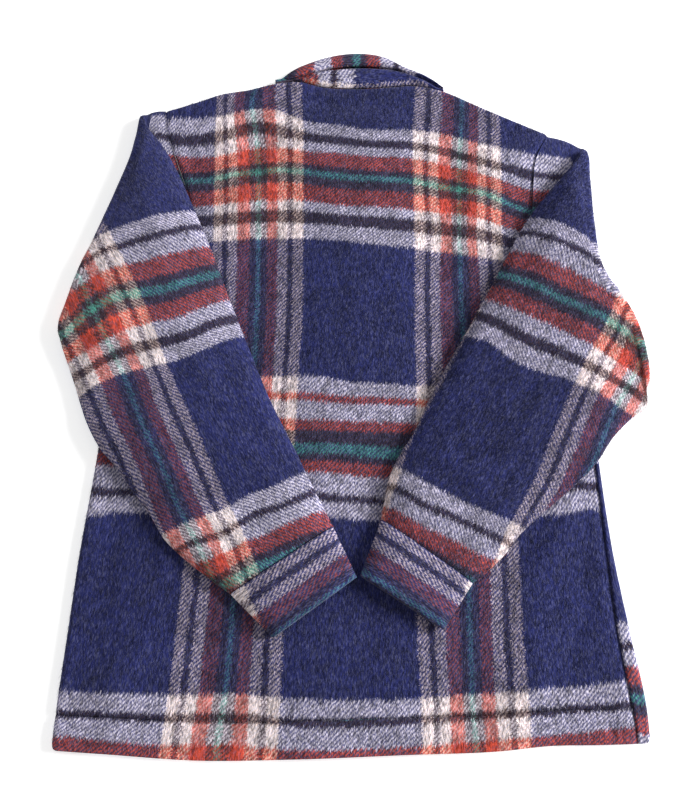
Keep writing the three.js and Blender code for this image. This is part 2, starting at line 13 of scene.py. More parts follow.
import bpy
import numpy as np
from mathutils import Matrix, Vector


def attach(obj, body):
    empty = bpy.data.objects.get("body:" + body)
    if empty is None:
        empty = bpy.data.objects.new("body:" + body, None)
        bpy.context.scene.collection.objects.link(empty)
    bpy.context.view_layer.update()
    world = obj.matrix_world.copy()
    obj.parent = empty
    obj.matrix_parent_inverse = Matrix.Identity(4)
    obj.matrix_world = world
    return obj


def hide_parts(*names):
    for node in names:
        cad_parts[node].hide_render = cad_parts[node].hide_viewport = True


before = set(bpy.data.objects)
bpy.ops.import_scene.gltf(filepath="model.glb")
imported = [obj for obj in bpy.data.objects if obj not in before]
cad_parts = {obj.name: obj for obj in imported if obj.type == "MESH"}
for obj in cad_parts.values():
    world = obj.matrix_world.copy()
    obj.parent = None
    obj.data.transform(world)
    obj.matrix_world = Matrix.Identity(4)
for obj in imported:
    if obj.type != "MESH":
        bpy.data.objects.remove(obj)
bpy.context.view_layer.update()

Grid = np.ndarray
LOG = logging.getLogger("jacket")
MM = 0.001
PLAN_SHIFT = np.array([-7.981, -47.583, 0.0])

# The garment's driving sizes, in millimetres, the same as those of its solids
WALL = 3.2
BODY_THICK = 8.0
SEAM_GAP = 0.3
ARMHOLE_GAP = 0.3
SLEEVE_THICK = 10.2
SLEEVE_LOFT = 4.5
SHOULDER_FILL = 8.0
CUFF_WALL = 4.2
CUFF_THICK = 12.0
LIFT = 0.7
NECK_GAP = 1.0
FOLD_RADIUS = BODY_THICK + 0.3
SIDE_WRAP = 12.0
PLACKET_HALF = 17.0
COLLAR_PLY = 4.8
COLLAR_LEAF = 3.2
COLLAR_HEIGHT = 13.0
LEAF_INSET = 7.0
BUTTON_THICK = 2.0
EDGE_DROOP = 5.0
HALF_WALL = WALL / 2
HALF_BODY = BODY_THICK / 2
MID_RADIUS = HALF_BODY - HALF_WALL
HALF_TURN = math.pi * MID_RADIUS
LEFT_LAP_LIFT = BUTTON_THICK + SEAM_GAP
RIGHT_LAP_LIFT = LEFT_LAP_LIFT + WALL + SEAM_GAP
BACK_LAP_LIFT = RIGHT_LAP_LIFT - (BODY_THICK - 2 * WALL) + SEAM_GAP
HEM_NOMINAL = -333.0
STITCH_NOMINAL = -301.8
HEM_CORNER = 6.0
TOP_NOMINAL = 380.0
TOP_FOLLOWS_FROM = 150.0
HEM_FOLLOWS_BELOW = -150.0
FOLD_BOW = 0.12

# Outlines of the body: height, left edge, right edge, right side seam
SIDES = np.array([
    (-336, -265.5, 278.5, 268), (-295, -264.5, 278.5, 265), (-224, -261, 270, 258),
    (-149, -257, 261.5, 255), (-79, -251, 257.5, 252.5), (-10, -246, 255, 250),
    (66, -240, 252, 247), (92, -238, 252, 247),
])
# Place across, height
HEM = np.array([
    (-266, -329.5), (-220, -332.4), (-130, -338), (-40, -336.6), (50, -333.2), (141, -330.2),
    (186, -325.8), (232, -325), (279, -323.6),
])
TOP_EDGE = np.array([
    (-240, 350), (-207, 358.5), (-168, 372.5), (-146, 381.5), (-110, 389), (-82, 397), (-52, 400),
    (-28, 393), (13, 390), (54, 392.4), (81, 394.4), (112, 388), (158, 364.5), (203, 341.5),
    (236, 325), (270, 306),
])
# Armholes from the underarm up: height, place across
ARMHOLE_LEFT = np.array([
    (92, -238), (97, -222), (106, -203), (126, -185), (160, -174), (200, -170), (239, -172.5),
    (265, -181), (292, -190.5), (325, -201.5), (357, -207.5),
])
ARMHOLE_RIGHT = np.array([
    (66, 252), (72, 236), (84, 220), (108, 211), (150, 207), (200, 208), (254, 212), (292, 218),
    (322, 234),
], float)
# Collar: place across, top edge of the near strip, outline of the far band
COLLAR = np.array([
    (-84, 394.4, 397), (-66, 398.8, 411.5), (-48, 403, 421), (-18, 410.5, 433), (18, 414, 438),
    (41, 413, 435), (71, 408, 422), (102, 395.4, 406), (120, 384.6, 390),
])
# Far band of the collar: place across and the weft coordinate of its cloth there
FALL_SETT = np.array([
    (-78, 68), (-60, 83), (-56, 86.5), (-36, 104), (-25, 116), (-15, 105), (-1.5, 86), (9.5, 77),
    (21, 64.8), (26.5, 58.3), (43, 41.5), (59.5, 26), (66, 19), (86, 0), (116, -30),
])
STRIP_LEFT, STRIP_RIGHT, STRIP_LEAST = -81.0, 117.0, 1.8
NECK_MIDDLE, NECK_HALF, NECK_DEPTH, NECK_LEFT, NECK_RIGHT = 18.0, 102.0, 74.0, 393.0, 385.0

# Folds and creases: middle x, y, direction in degrees, half length, half width, height
BACK_FOLDS = np.array([
    (-205, -255, 80, 70, 18, 1.8), (-95, -270, 98, 60, 20, 1.2), (175, -250, 84, 70, 19, 1.9),
    (20, 235, 15, 80, 26, 1.4), (150, 250, 78, 75, 26, 3.4), (-120, 250, 100, 70, 24, 2.6),
    (15, 190, 2, 130, 70, 3.0), (204, -148, 58, 50, 11, 3.0), (188, -132, 57, 34, 7, -1.3),
    (228, -205, 76, 58, 11, -1.6), (152, -215, 82, 60, 12, -1.3), (-228, -170, 84, 52, 11, -1.5),
    (-178, -200, 78, 66, 12, 1.5), (-130, -225, 88, 45, 10, -1.2), (-60, -215, 96, 50, 15, 1.0),
    (95, -235, 92, 52, 12, 1.2), (20, -225, 90, 50, 16, -0.9), (-120, 320, 28, 60, 12, 1.2),
    (130, 325, -30, 62, 12, 1.3), (15, 365, 2, 75, 9, -1.1), (-100, 140, 70, 60, 13, 0.9),
    (110, 150, 104, 58, 13, -1.0), (15, 130, 95, 85, 17, 0.9), (224, 252, 49, 46, 13, -1.7),
    (184, 268, 58, 52, 15, 2.2), (-178, 300, -62, 40, 10, -1.4), (15, 316, 2, 120, 22, 1.6),
    (60, 35, 20, 40, 11, 0.9), (-15, -20, 165, 44, 12, -0.8), (-40, 225, 60, 50, 14, -0.8),
])
SLEEVE_FOLDS = np.array([
    (-235, 120, 35, 60, 17, 1.8), (-225, 20, 20, 50, 15, -1.6), (-120, -80, 50, 50, 16, 1.5),
    (262, 140, 165, 50, 16, -2.2), (250, 40, 150, 55, 16, 1.8), (130, -90, 130, 50, 16, 1.5),
    (-272, 62, -12, 30, 7, -1.8), (-262, 30, 8, 26, 7, 1.5), (-252, -4, 15, 34, 7, -1.9),
    (-236, -40, 30, 32, 8, -1.3), (-190, 150, -58, 70, 11, 1.1), (-205, 75, -50, 62, 9, -1.1),
    (-150, 40, -62, 74, 12, 1.3), (-165, -60, -50, 60, 9, -1.2), (-95, -30, -55, 70, 11, -1.1),
    (-60, -95, -40, 40, 9, 1.1), (-118, -140, -35, 32, 7, -1.2), (-215, 230, -70, 60, 12, 1.1),
    (-236, 262, 55, 34, 9, -1.2), (-205, 290, 40, 26, 8, 1.1), (-80, 30, -66, 46, 9, 1.0),
    (285, 60, 200, 32, 7, -1.7), (268, 95, 205, 40, 9, 1.5), (275, 10, 190, 30, 7, 1.3),
    (254, -28, 160, 34, 7, -1.6), (205, 120, 62, 70, 12, 1.3), (228, 185, 75, 50, 10, 1.3),
    (190, 190, 55, 48, 9, -1.0), (160, 40, 58, 72, 11, -1.2), (190, -20, 60, 60, 10, 1.3),
    (100, -50, 55, 60, 10, 1.2), (150, -90, 50, 44, 8, -1.4), (80, -110, 35, 40, 8, -1.0),
    (258, 250, 100, 62, 20, 4.0), (240, 262, 49, 44, 10, 3.0), (-222, 300, 72, 50, 18, 2.6),
    (262, 215, 85, 42, 9, -1.4), (245, 235, 60, 36, 9, 1.2), (125, 30, 64, 50, 9, 1.0),
])

# Sleeve after its fold, a row for each section: inner edge x, y and underarm edge x, y
ROWS_LEFT = np.array([
    (-224, 331, -297, 62), (-206, 306, -281, 24), (-188, 274, -264, -16), (-168, 230, -246, -47),
    (-145, 176, -228, -67), (-121, 113, -210, -91), (-98, 56, -189, -117), (-75, 1, -173, -141),
    (-52, -45, -152, -160), (-30, -90, -129, -177), (-10.7, -128.3, -107.8, -191.8),
])
ROWS_RIGHT = np.array([
    (262, 283, 313.5, -3), (246, 264, 293, -18), (228, 244, 273, -36), (204, 214, 253, -62),
    (180, 172, 224, -90), (152, 119, 197, -112), (127, 74, 172, -134), (98, 24, 158, -151),
    (72, -30, 146, -163), (47, -74, 135, -173), (36, -121.4, 122.5, -181.6),
])
# Hollow of each sleeve's fold line from its upper end on: share of its length, depth
DENT_LEFT = np.array([
    (0, 0), (0.05, 3.9), (0.09, 6.3), (0.13, 7.6), (0.17, 8.9), (0.25, 9.3), (0.33, 8.5),
    (0.41, 7.7), (0.48, 6.6), (0.55, 5.5), (0.62, 4.4), (0.69, 2.2), (0.76, 1.5), (0.9, 2.0),
    (0.96, 1.6), (1.0, 3.0),
])
DENT_RIGHT = np.array([
    (0, 4.8), (0.04, 6.2), (0.11, 11.0), (0.19, 14.6), (0.29, 19.2), (0.36, 21.4), (0.42, 23.5),
    (0.49, 24.2), (0.56, 20.8), (0.625, 13.0), (0.69, 7.0), (0.76, 2.6), (0.82, 1.3), (0.88, 1.4),
    (0.94, 2.5), (1.0, 4.6),
])
# Reach of the fold's sections past its lower end, which rounds the elbow
ELBOW_REACH = np.array([0, 0, 0, -3, -3, -1, 2, 6, 9.5])


class Yarn(Enum):
    """Dyed wool yarns of the check, as sRGB hex values."""

    NAVY = "#1f2456"
    CREAM = "#f6ddd0"
    MIST = "#e2d8e0"
    DARK = "#38262c"
    RED = "#c64a36"
    GREEN = "#4b9585"


# A stripe's start in millimetres of cloth, and its yarn
Stripe = tuple[float, Yarn]
WARP_REPEAT = 229.0
WARP = (
    (0.0, Yarn.CREAM), (10.0, Yarn.DARK), (16.5, Yarn.CREAM), (27.5, Yarn.RED), (42.0, Yarn.DARK),
    (48.5, Yarn.GREEN), (54.5, Yarn.DARK), (61.0, Yarn.RED), (72.5, Yarn.CREAM), (84.0, Yarn.DARK),
    (90.0, Yarn.CREAM), (101.5, Yarn.NAVY),
)
WEFT_GROUP = (
    (0.0, Yarn.MIST), (18.6, Yarn.DARK), (26.6, Yarn.MIST), (41.1, Yarn.RED), (58.3, Yarn.DARK),
    (66.5, Yarn.GREEN), (74.8, Yarn.DARK), (85.6, Yarn.RED), (104.8, Yarn.MIST), (120.0, Yarn.DARK),
    (132.6, Yarn.MIST), (153.1, Yarn.NAVY),
)
SECOND_GROUP = (
    (0.0, Yarn.MIST), (15.3, Yarn.RED), (22.9, Yarn.MIST), (42.2, Yarn.RED), (57.0, Yarn.DARK),
    (72.5, Yarn.GREEN), (81.0, Yarn.DARK), (89.3, Yarn.RED), (102.6, Yarn.MIST),
    (121.8, Yarn.DARK), (129.8, Yarn.MIST), (143.7, Yarn.NAVY),
)
THIRD_GROUP = ((0.0, Yarn.MIST), (14.6, Yarn.DARK), (23.2, Yarn.MIST), (40.0, Yarn.RED))
SECOND_START, THIRD_START = 312.8, 623.6
BACK_WEFT = (
    *WEFT_GROUP,
    *((SECOND_START + start, yarn) for start, yarn in SECOND_GROUP),
    *((THIRD_START + start, yarn) for start, yarn in THIRD_GROUP),
)
BACK_WEFT_FROM, BACK_WEFT_SPAN = -200.0, 1000.0
# Twill lines of thick coating are about 2.2 mm apart; drawn twice as far so that they show
TWILL_PITCH = 4.4


def smooth(value: Grid) -> Grid:
    """Eased step from 0 to 1: three squares less two cubes."""
    part = np.clip(value, 0.0, 1.0)
    return part * part * (3 - 2 * part)


def mix(low: Grid, high: Grid, part: Grid) -> Grid:
    """Straight mix of two values by a share."""
    return low + (high - low) * part


def through(keys: Grid, values: Grid, at: Grid) -> Grid:
    """Cubic curve through a table's values, held level past its ends.

    Args:
        keys: Rising places of the table's rows.
        values: One value, or one array of values, for each row.
        at: Places to read.
    Returns:
        The cubic with each row's own slope, for every place.
    """
    slopes = np.gradient(values, keys, axis=0)
    low = np.clip(np.searchsorted(keys, at) - 1, 0, len(keys) - 2)
    span = keys[low + 1] - keys[low]
    part = np.clip((at - keys[low]) / span, 0.0, 1.0)
    if values.ndim > 1:
        extra = (1,) * (values.ndim - 1)
        span, part = span.reshape(-1, *extra), part.reshape(-1, *extra)
    square, cube = part**2, part**3
    return (
        (2 * cube - 3 * square + 1) * values[low]
        + (cube - 2 * square + part) * span * slopes[low]
        + (3 * square - 2 * cube) * values[low + 1]
        + (cube - square) * span * slopes[low + 1]
    )


def relief(folds: Grid, x: Grid, y: Grid) -> Grid:
    """Soft troughs and ridges: a bell curve along and across each one, all added up.

    Args:
        folds: A row for each fold, as in the tables.
        x: Places across.
        y: Places up.
    Returns:
        Height gained at each place.
    """
    total = np.zeros_like(x)
    for middle_x, middle_y, turn, long, wide, rise in folds:
        c, s = math.cos(math.radians(turn)), math.sin(math.radians(turn))
        along = (x - middle_x) * c + (y - middle_y) * s
        across = (y - middle_y) * c - (x - middle_x) * s
        bowed = across - FOLD_BOW * along**2 / long
        total += rise * np.exp(-((along / long) ** 2) - (bowed / wide) ** 2)
    return total


def rounded(distance: Grid, radius: float) -> Grid:
    """Share of the thickness left at a distance from a rim: a quarter circle, never under 0.3."""
    part = 1 - np.clip(distance / radius, 0.0, 1.0)
    return np.maximum(0.3, np.sqrt(1 - part**2))


def bell(distance: Grid, width: float) -> Grid:
    """Bell curve: 1 at no distance, falling off over a width."""
    return np.exp(-((distance / width) ** 2))


def near_side(across: Grid, width: Grid) -> Grid:
    """Share of a soft tube's loft: full in its middle, none at its edges, by a cube."""
    return 1 - np.abs(2 * across / width - 1) ** 3


def waves(along: Grid, seed: int, lengths: tuple[float, ...]) -> Grid:
    """Uneven ripple along a line: the mean of sines with seeded phases.

    Args:
        along: Places on the line.
        seed: Seed of the phases.
        lengths: Wave length of each sine.
    Returns:
        Ripple from -1 to 1.
    """
    phases = np.random.default_rng(seed).uniform(0, math.tau, len(lengths))
    total = sum(np.sin(math.tau * along / w + p) for w, p in zip(lengths, phases))
    return total / len(lengths)


@dataclass(frozen=True)
class BodyForm:
    """Outlines of the flattened body tube."""

    centre_at_hem: float = 6.0
    centre_shift: float = 12.0
    lap_blend: float = 85.0
    lap_end: float = 335.0
    lap_fade: float = 40.0
    corner_fade: float = 25.0

    def hem(self, x: Grid) -> Grid:
        """Lower edge at a place across."""
        return through(HEM[:, 0], HEM[:, 1], x)

    def top(self, x: Grid) -> Grid:
        """Shoulder and neck line at a place across."""
        return through(TOP_EDGE[:, 0], TOP_EDGE[:, 1], x)

    def side(self, column: int, y: Grid) -> Grid:
        """Column 1 left edge, 2 right edge, 3 right seam, at a height."""
        return through(SIDES[:, 0], SIDES[:, column], y)

    def middle(self, y: Grid) -> Grid:
        """Centre line, which leans a little to the right from the hem to the collar."""
        return self.centre_at_hem + (y + 334) / 724 * self.centre_shift

    def back_lift(self, x: Grid, y: Grid) -> Grid:
        """Height that the back gains over the lapped fronts, eased out to the sides and the neck.

        Args:
            x: Places across.
            y: Places up.
        Returns:
            The height gained.
        """
        away = np.abs(x - self.middle(y))
        across = 1 - smooth((away - PLACKET_HALF - 8) / self.lap_blend)
        return BACK_LAP_LIFT * across * (1 - smooth((y - self.lap_end) / self.lap_fade))

    def corner(self, nominal: Grid, distance: Grid) -> Grid:
        """Rise of the hem at its rounded corners: a quarter circle, eased out up the side.

        Args:
            nominal: Nominal height of the row.
            distance: Distance from the side fold.
        Returns:
            The rise.
        """
        past = HEM_CORNER - np.clip(distance, 0, HEM_CORNER)
        rise = HEM_CORNER - np.sqrt(HEM_CORNER**2 - past**2)
        return rise * (1 - smooth((nominal - HEM_NOMINAL) / self.corner_fade))

    def row_height(self, nominal: Grid, x: Grid) -> Grid:
        """Real height of a row of points: hem rows follow the hem, upper rows the shoulders.

        Args:
            nominal: Nominal height of the row.
            x: Places across.
        Returns:
            A straight mix between the fixed middle rows and the edge's own height.
        """
        upper = (nominal - TOP_FOLLOWS_FROM) / (TOP_NOMINAL - TOP_FOLLOWS_FROM)
        lower = (HEM_FOLLOWS_BELOW - nominal) / (HEM_FOLLOWS_BELOW - HEM_NOMINAL)
        high = mix(TOP_FOLLOWS_FROM, self.top(x) - HALF_BODY, upper)
        low = mix(HEM_FOLLOWS_BELOW, self.hem(x), lower)
        kept = np.where(nominal < HEM_FOLLOWS_BELOW, low, nominal)
        return np.where(nominal > TOP_FOLLOWS_FROM, high, kept)

    def round_side(self, edge: Grid, inward: int, along: Grid, offset: Grid) -> tuple[Grid, Grid]:
        """Place across the flattened tube at a distance along the cloth from the side fold.

        Args:
            edge: Side outline.
            inward: 1 at the left side and -1 at the right.
            along: Positive on the upper layer, then round the fold and back below.
            offset: Distance outwards from the middle of the cloth.
        Returns:
            Place across and height.
        """
        start = edge + inward * HALF_BODY
        turn = np.clip(-along / MID_RADIUS, 0.0, math.pi)
        reach = MID_RADIUS + offset
        x = start - inward * reach * np.sin(turn)
        x = x + inward * np.maximum(along, 0) + inward * np.maximum(-along - HALF_TURN, 0)
        return x, HALF_BODY + reach * np.cos(turn)

    def neckline(self, x: Grid, half: float, depth: float) -> Grid:
        """Lower boundary of the neck opening in the fronts, an ellipse under a sloping line.

        Args:
            x: Places across.
            half: Half the opening's width.
            depth: Its depth.
        Returns:
            The boundary's height.
        """
        part = np.clip(1 - ((x - NECK_MIDDLE) / half) ** 2, 0, 1)
        share = (x - NECK_MIDDLE + NECK_HALF) / (2 * NECK_HALF)
        return mix(NECK_LEFT, NECK_RIGHT, share) - depth * np.sqrt(part)


BODY = BodyForm()


@dataclass
class Chart:
    """Thin plate surface through places on the plan whose cloth coordinate is known.

    Each row is a place x, y and the distance in the cloth there, along the warp or the weft.
    """

    rows: tuple[tuple[float, float, float], ...]
    stiffness: float = 2e-3
    places: Grid = field(init=False)
    weights: Grid = field(init=False)

    def __post_init__(self) -> None:
        """Solves for the plate's weights: r squared log r at each place, and a plane."""
        self.places = np.array(self.rows, float)[:, :2] / 100
        count = len(self.places)
        system = np.zeros((count + 3, count + 3))
        system[:count, :count] = self.bend(self.places) + self.stiffness * np.eye(count)
        system[:count, count:] = np.column_stack([np.ones(count), self.places])
        system[count:, :count] = system[:count, count:].T
        values = np.concatenate([np.array(self.rows, float)[:, 2], np.zeros(3)])
        self.weights = np.linalg.solve(system, values)

    def bend(self, at: Grid) -> Grid:
        """Plate function between any places and the chart's own."""
        square = ((at[:, None, :] - self.places[None, :, :]) ** 2).sum(-1)
        return 0.5 * square * np.log(square + 1e-12)

    def read(self, x: Grid, y: Grid) -> Grid:
        """Cloth coordinate at places on the plan.

        Args:
            x: Places across, in millimetres.
            y: Places up.
        Returns:
            The coordinate in millimetres, in the places' own shape.
        """
        at = np.column_stack([x.ravel(), y.ravel()]) / 100
        count = len(self.places)
        bent = self.bend(at) @ self.weights[:count]
        return (bent + self.weights[count] + at @ self.weights[count + 1:]).reshape(x.shape)


def lines(
    table: dict[float, tuple[tuple[float, float], ...]],
) -> tuple[tuple[float, float, float], ...]:
    """Rows for a chart from lines in the cloth, each with the places that it runs through."""
    return tuple((x, y, value) for value, places in table.items() for x, y in places)


BODY_ACROSS = Chart(lines({
    0: ((-148, 365), (-159, -242), (-161, -271), (-165, -316)),
    16.5: ((-136, 365), (-128, 197), (-143, -242), (-146, -291)),
    47.5: ((-112, 365), (-98, 197), (-97, 81), (-111, -242), (-119, -316)),
    72.5: ((-80, 365), (-74, 197), (-73, 81), (-74, 48), (-87, -242), (-89, -316)),
    101.5: ((-49, 365), (-47, 329), (-45, 197), (-45, 81), (-47, 48), (-58, -242), (-60, -316)),
    229: ((82, 365), (79, 329), (77, 197), (75, 81), (75, 48), (69, -242), (71, -316)),
    256.5: ((114, 365), (110, 329), (107, 197), (102, 81), (102, 48), (97, -291)),
    284.5: ((129, 197), (121, -291)),
    330.5: ((180, 365), (179, 329), (173, 197), (168, -242), (169, -271), (169, -316)),
}))
BODY_ALONG = Chart(lines({
    0: ((-206, 352), (-150, 353), (-125, 358), (-101, 363), (-80, 361), (-62, 355), (-42, 344),
        (-10, 338), (24, 331), (74, 331), (104, 329), (160, 313), (200, 305)),
    22.6: ((-170, 320), (-140, 326), (-118, 334), (-99, 338), (-78, 334), (-55, 326)),
    41.1: ((-143, 296), (-120, 303), (-99, 308), (-80, 307), (-41, 301), (-10, 298), (24, 294),
        (73, 292), (103, 288), (158, 270), (197, 256)),
    76.5: ((-128, 267), (-71, 275), (-41, 270), (-10, 264), (24, 260), (72, 258), (156, 242)),
    104.8: ((-127, 237), (-70, 242), (-10, 232), (23, 230), (71, 228), (101, 225), (155, 216)),
    153.1: ((-125, 190), (-69, 192), (-10, 187), (23, 183), (100, 176), (166, 166)),
    312.8: ((-240, 44), (-66, 32), (-25, 31), (1, 26), (27, 24), (71, 21), (245, 14)),
    355: ((-45, -14), (1, -17), (27, -17), (70, -18)),
    395.9: ((-24, -52), (1, -53), (26, -56)),
    434.6: ((-248, -83), (-235, -86), (1, -94), (26, -96), (220, -79), (246, -80)),
    456.5: ((-246, -112), (-233, -109), (6, -116), (217, -110), (243, -105)),
    623.6: ((-252, -278), (-183, -281), (-82, -282), (-8, -286), (61, -285), (185, -276),
        (249, -270)),
    646.8: ((-250, -302), (-181, -305), (-44, -309), (60, -307), (183, -300), (246, -296)),
    663.6: ((-248, -315), (-100, -321), (0, -325), (100, -320), (182, -314), (245, -308)),
}))
LEFT_ACROSS = Chart(lines({
    101.5: ((-252, 186), (-227, 141), (-204, 94), (-183, 40), (-155, -16), (-137, -54), (-126, -77),
        (-111, -110), (-88, -156)),
    72.5: ((-270, 160), (-227, 74), (-202, 26), (-186, -16), (-155, -76), (-140, -109),
        (-122, -138)),
    27.5: ((-262, 45), (-233, -16), (-213, -52), (-200, -76), (-187, -109)),
    22: ((-288, 79),),
    195: ((-168, 219),),
    191: ((-139, 145),),
    192: ((-101, 73), (-11, -129)),
    190: ((-36, -73),),
}), 0.02)
LEFT_ALONG = Chart(lines({
    0: ((-168, 219), (-206, 210), (-236, 201), (-260, 192)),
    22.4: ((-167, 200), (-221, 182), (-260, 171)),
    41.1: ((-153, 174), (-192, 162), (-230, 152), (-271, 136)),
    70.6: ((-137, 143), (-189, 123), (-224, 117), (-246, 112), (-267, 99), (-288, 78)),
    104.8: ((-125, 112), (-152, 100), (-200, 85), (-227, 76), (-249, 65), (-281, 47)),
    126.3: ((-115, 90), (-158, 70), (-208, 57), (-235, 48), (-264, 32)),
    153.1: ((-101, 73), (-125, 65), (-150, 52), (-180, 40), (-213, 33), (-248, 20), (-267, 9)),
    312.8: ((-35, -73), (-72, -92), (-113, -111), (-146, -123), (-170, -134)),
    335.2: ((-26, -92), (-88, -116), (-145, -143)),
    353.9: ((-14, -113), (-79, -140), (-108, -151), (-136, -162)),
    371.1: ((-14, -129), (-58, -145), (-93, -155)),
    377.6: ((-92, -165),),
    384: ((-102, -178),),
}), 0.01)
RIGHT_ACROSS = Chart(lines({
    0: ((291, 124), (278, 92), (254, 53), (239, 26), (219, -13), (202, -48), (187, -82),
        (168, -115), (158, -128), (145, -158)),
    27.5: ((278, 38), (248, -14), (232, -48), (216, -82), (194, -115)),
    40: ((259, -14), (226, -82)),
    -127.5: ((177, 170), (127, 72), (101, 22), (82, -13), (64, -48), (54, -80), (46, -98),
        (41, -115)),
}), 0.02)
RIGHT_ALONG = Chart(lines({
    0: ((210, 211), (229, 204), (250, 194), (273, 178)),
    22.4: ((203, 193), (231, 181), (261, 168), (275, 158)),
    41.1: ((187, 170), (207, 164), (232, 150), (258, 138), (279, 125)),
    70.6: ((170, 142), (190, 134), (229, 112), (255, 100), (280, 86), (292, 77), (307, 66)),
    104.8: ((152, 113), (174, 102), (202, 88), (229, 74), (256, 59), (289, 37)),
    126.3: ((141, 94), (172, 76), (215, 53), (241, 41), (258, 32)),
    153.1: ((127, 72), (153, 62), (174, 43), (194, 32), (222, 24), (255, 10)),
    312.8: ((55, -72), (90, -92), (119, -107), (158, -123)),
    335.2: ((51, -90), (102, -116), (128, -129), (152, -140)),
    353.9: ((35, -109), (83, -133), (130, -155)),
    371.1: ((33, -121), (83, -149), (118, -169)),
    383.4: ((120, -179),),
}), 0.01)


def body_cloth(x: Grid, y: Grid) -> tuple[Grid, Grid]:
    """Warp and weft coordinates of the body's cloth at places on the plan."""
    return BODY_ACROSS.read(x, y), BODY_ALONG.read(x, y)


def facing_out(points: Grid, quads: Grid) -> Grid:
    """Turns the faces round where the volume that they enclose is negative.

    Args:
        points: Vertices.
        quads: Vertex numbers of the faces.
    Returns:
        The faces, all pointing outwards.
    """
    a, b, c, d = (points[quads[:, k]] for k in range(4))
    volume = np.einsum("ij,ij->i", a, np.cross(b, c)).sum()
    volume += np.einsum("ij,ij->i", a, np.cross(c, d)).sum()
    return quads if volume > 0 else quads[:, ::-1]


def new_piece(name: str, points: Grid, faces: Grid, cloth: Grid | None) -> bpy.types.Object:
    """A piece in the row frame from plan millimetres.

    Args:
        name: The piece's name.
        points: Vertices in plan millimetres.
        faces: Vertex numbers of triangles or quads.
        cloth: Warp and weft coordinate and twill direction of each vertex, or None.
    Returns:
        The new object, at the origin.
    """
    count, corners = faces.shape
    mesh = bpy.data.meshes.new(name)
    mesh.vertices.add(len(points))
    mesh.vertices.foreach_set("co", ((points + PLAN_SHIFT) * MM).astype(np.float32).ravel())
    mesh.loops.add(count * corners)
    mesh.loops.foreach_set("vertex_index", faces.astype(np.int32).ravel())
    mesh.polygons.add(count)
    mesh.polygons.foreach_set("loop_start", np.arange(count, dtype=np.int32) * corners)
    mesh.polygons.foreach_set("use_smooth", np.ones(count, bool))
    mesh.update(calc_edges=True)
    mesh.validate()
    if cloth is not None:
        layer = mesh.attributes.new("cloth", "FLOAT_VECTOR", "POINT")
        layer.data.foreach_set("vector", cloth.astype(np.float32).ravel())
    piece = bpy.data.objects.new(name, mesh)
    bpy.context.scene.collection.objects.link(piece)
    return piece


def between_rows(number: Grid) -> Grid:
    """Quads between the rows of a grid of vertex numbers."""
    face = np.stack([number[:-1, :-1], number[:-1, 1:], number[1:, 1:], number[1:, :-1]], -1)
    return face.reshape(-1, 4)


def shell(name: str, outer: Grid, inner: Grid, cloth: Grid, ring: bool) -> bpy.types.Object:
    """Closed shell between an outer and an inner grid of points.

    Args:
        name: The piece's name.
        outer: Grid of rows and columns of outer points.
        inner: The same grid on the inner face.
        cloth: Cloth coordinates of the outer grid, which the inner one shares.
        ring: True where each row closes on itself.
    Returns:
        The new object, with its rims joined across the wall.
    """
    rows, columns = outer.shape[:2]
    number = np.arange(rows * columns).reshape(rows, columns)
    if ring:
        number = np.column_stack([number, number[:, :1]])
    layer = rows * columns
    face = between_rows(number)
    rims = [number[0], number[-1][::-1]]
    if not ring:
        rims += [number[::-1, 0], number[:, -1]]
    sides = [np.stack([rim[:-1], rim[:-1] + layer, rim[1:] + layer, rim[1:]], -1) for rim in rims]
    quads = np.concatenate([face, face[:, ::-1] + layer, *sides])
    points = np.concatenate([outer.reshape(-1, 3), inner.reshape(-1, 3)])
    both = np.concatenate([cloth.reshape(-1, 3)] * 2)
    return new_piece(name, points, facing_out(points, quads), both)


def hex_to_linear(code: str) -> tuple[float, float, float, float]:
    """Turns an sRGB hex value to linear light.

    Args:
        code: Hex value with its hash sign.
    Returns:
        Linear red, green and blue, with full alpha.
    """
    srgb = np.array([int(code[k:k + 2], 16) for k in (1, 3, 5)]) / 255
    linear = np.where(srgb <= 0.04045, srgb / 12.92, ((srgb + 0.055) / 1.055) ** 2.4)
    return (*(float(v) for v in linear), 1.0)


def node(
    tree: bpy.types.NodeTree, kind: str, inputs: dict[str | int, object] | None = None,
    **settings: object,
) -> bpy.types.Node:
    """Adds a shader node.

    Args:
        tree: The material's nodes.
        kind: The node's type, without its usual prefix.
        inputs: Values, or sockets to link, by the inputs' names or numbers.
        settings: The node's own settings.
    Returns:
        The new node.
    """
    made = tree.nodes.new("ShaderNode" + kind)
    for name, value in settings.items():
        setattr(made, name, value)
    for key, value in (inputs or {}).items():
        if isinstance(value, bpy.types.NodeSocket):
            tree.links.new(value, made.inputs[key])
        else:
            made.inputs[key].default_value = value
    return made


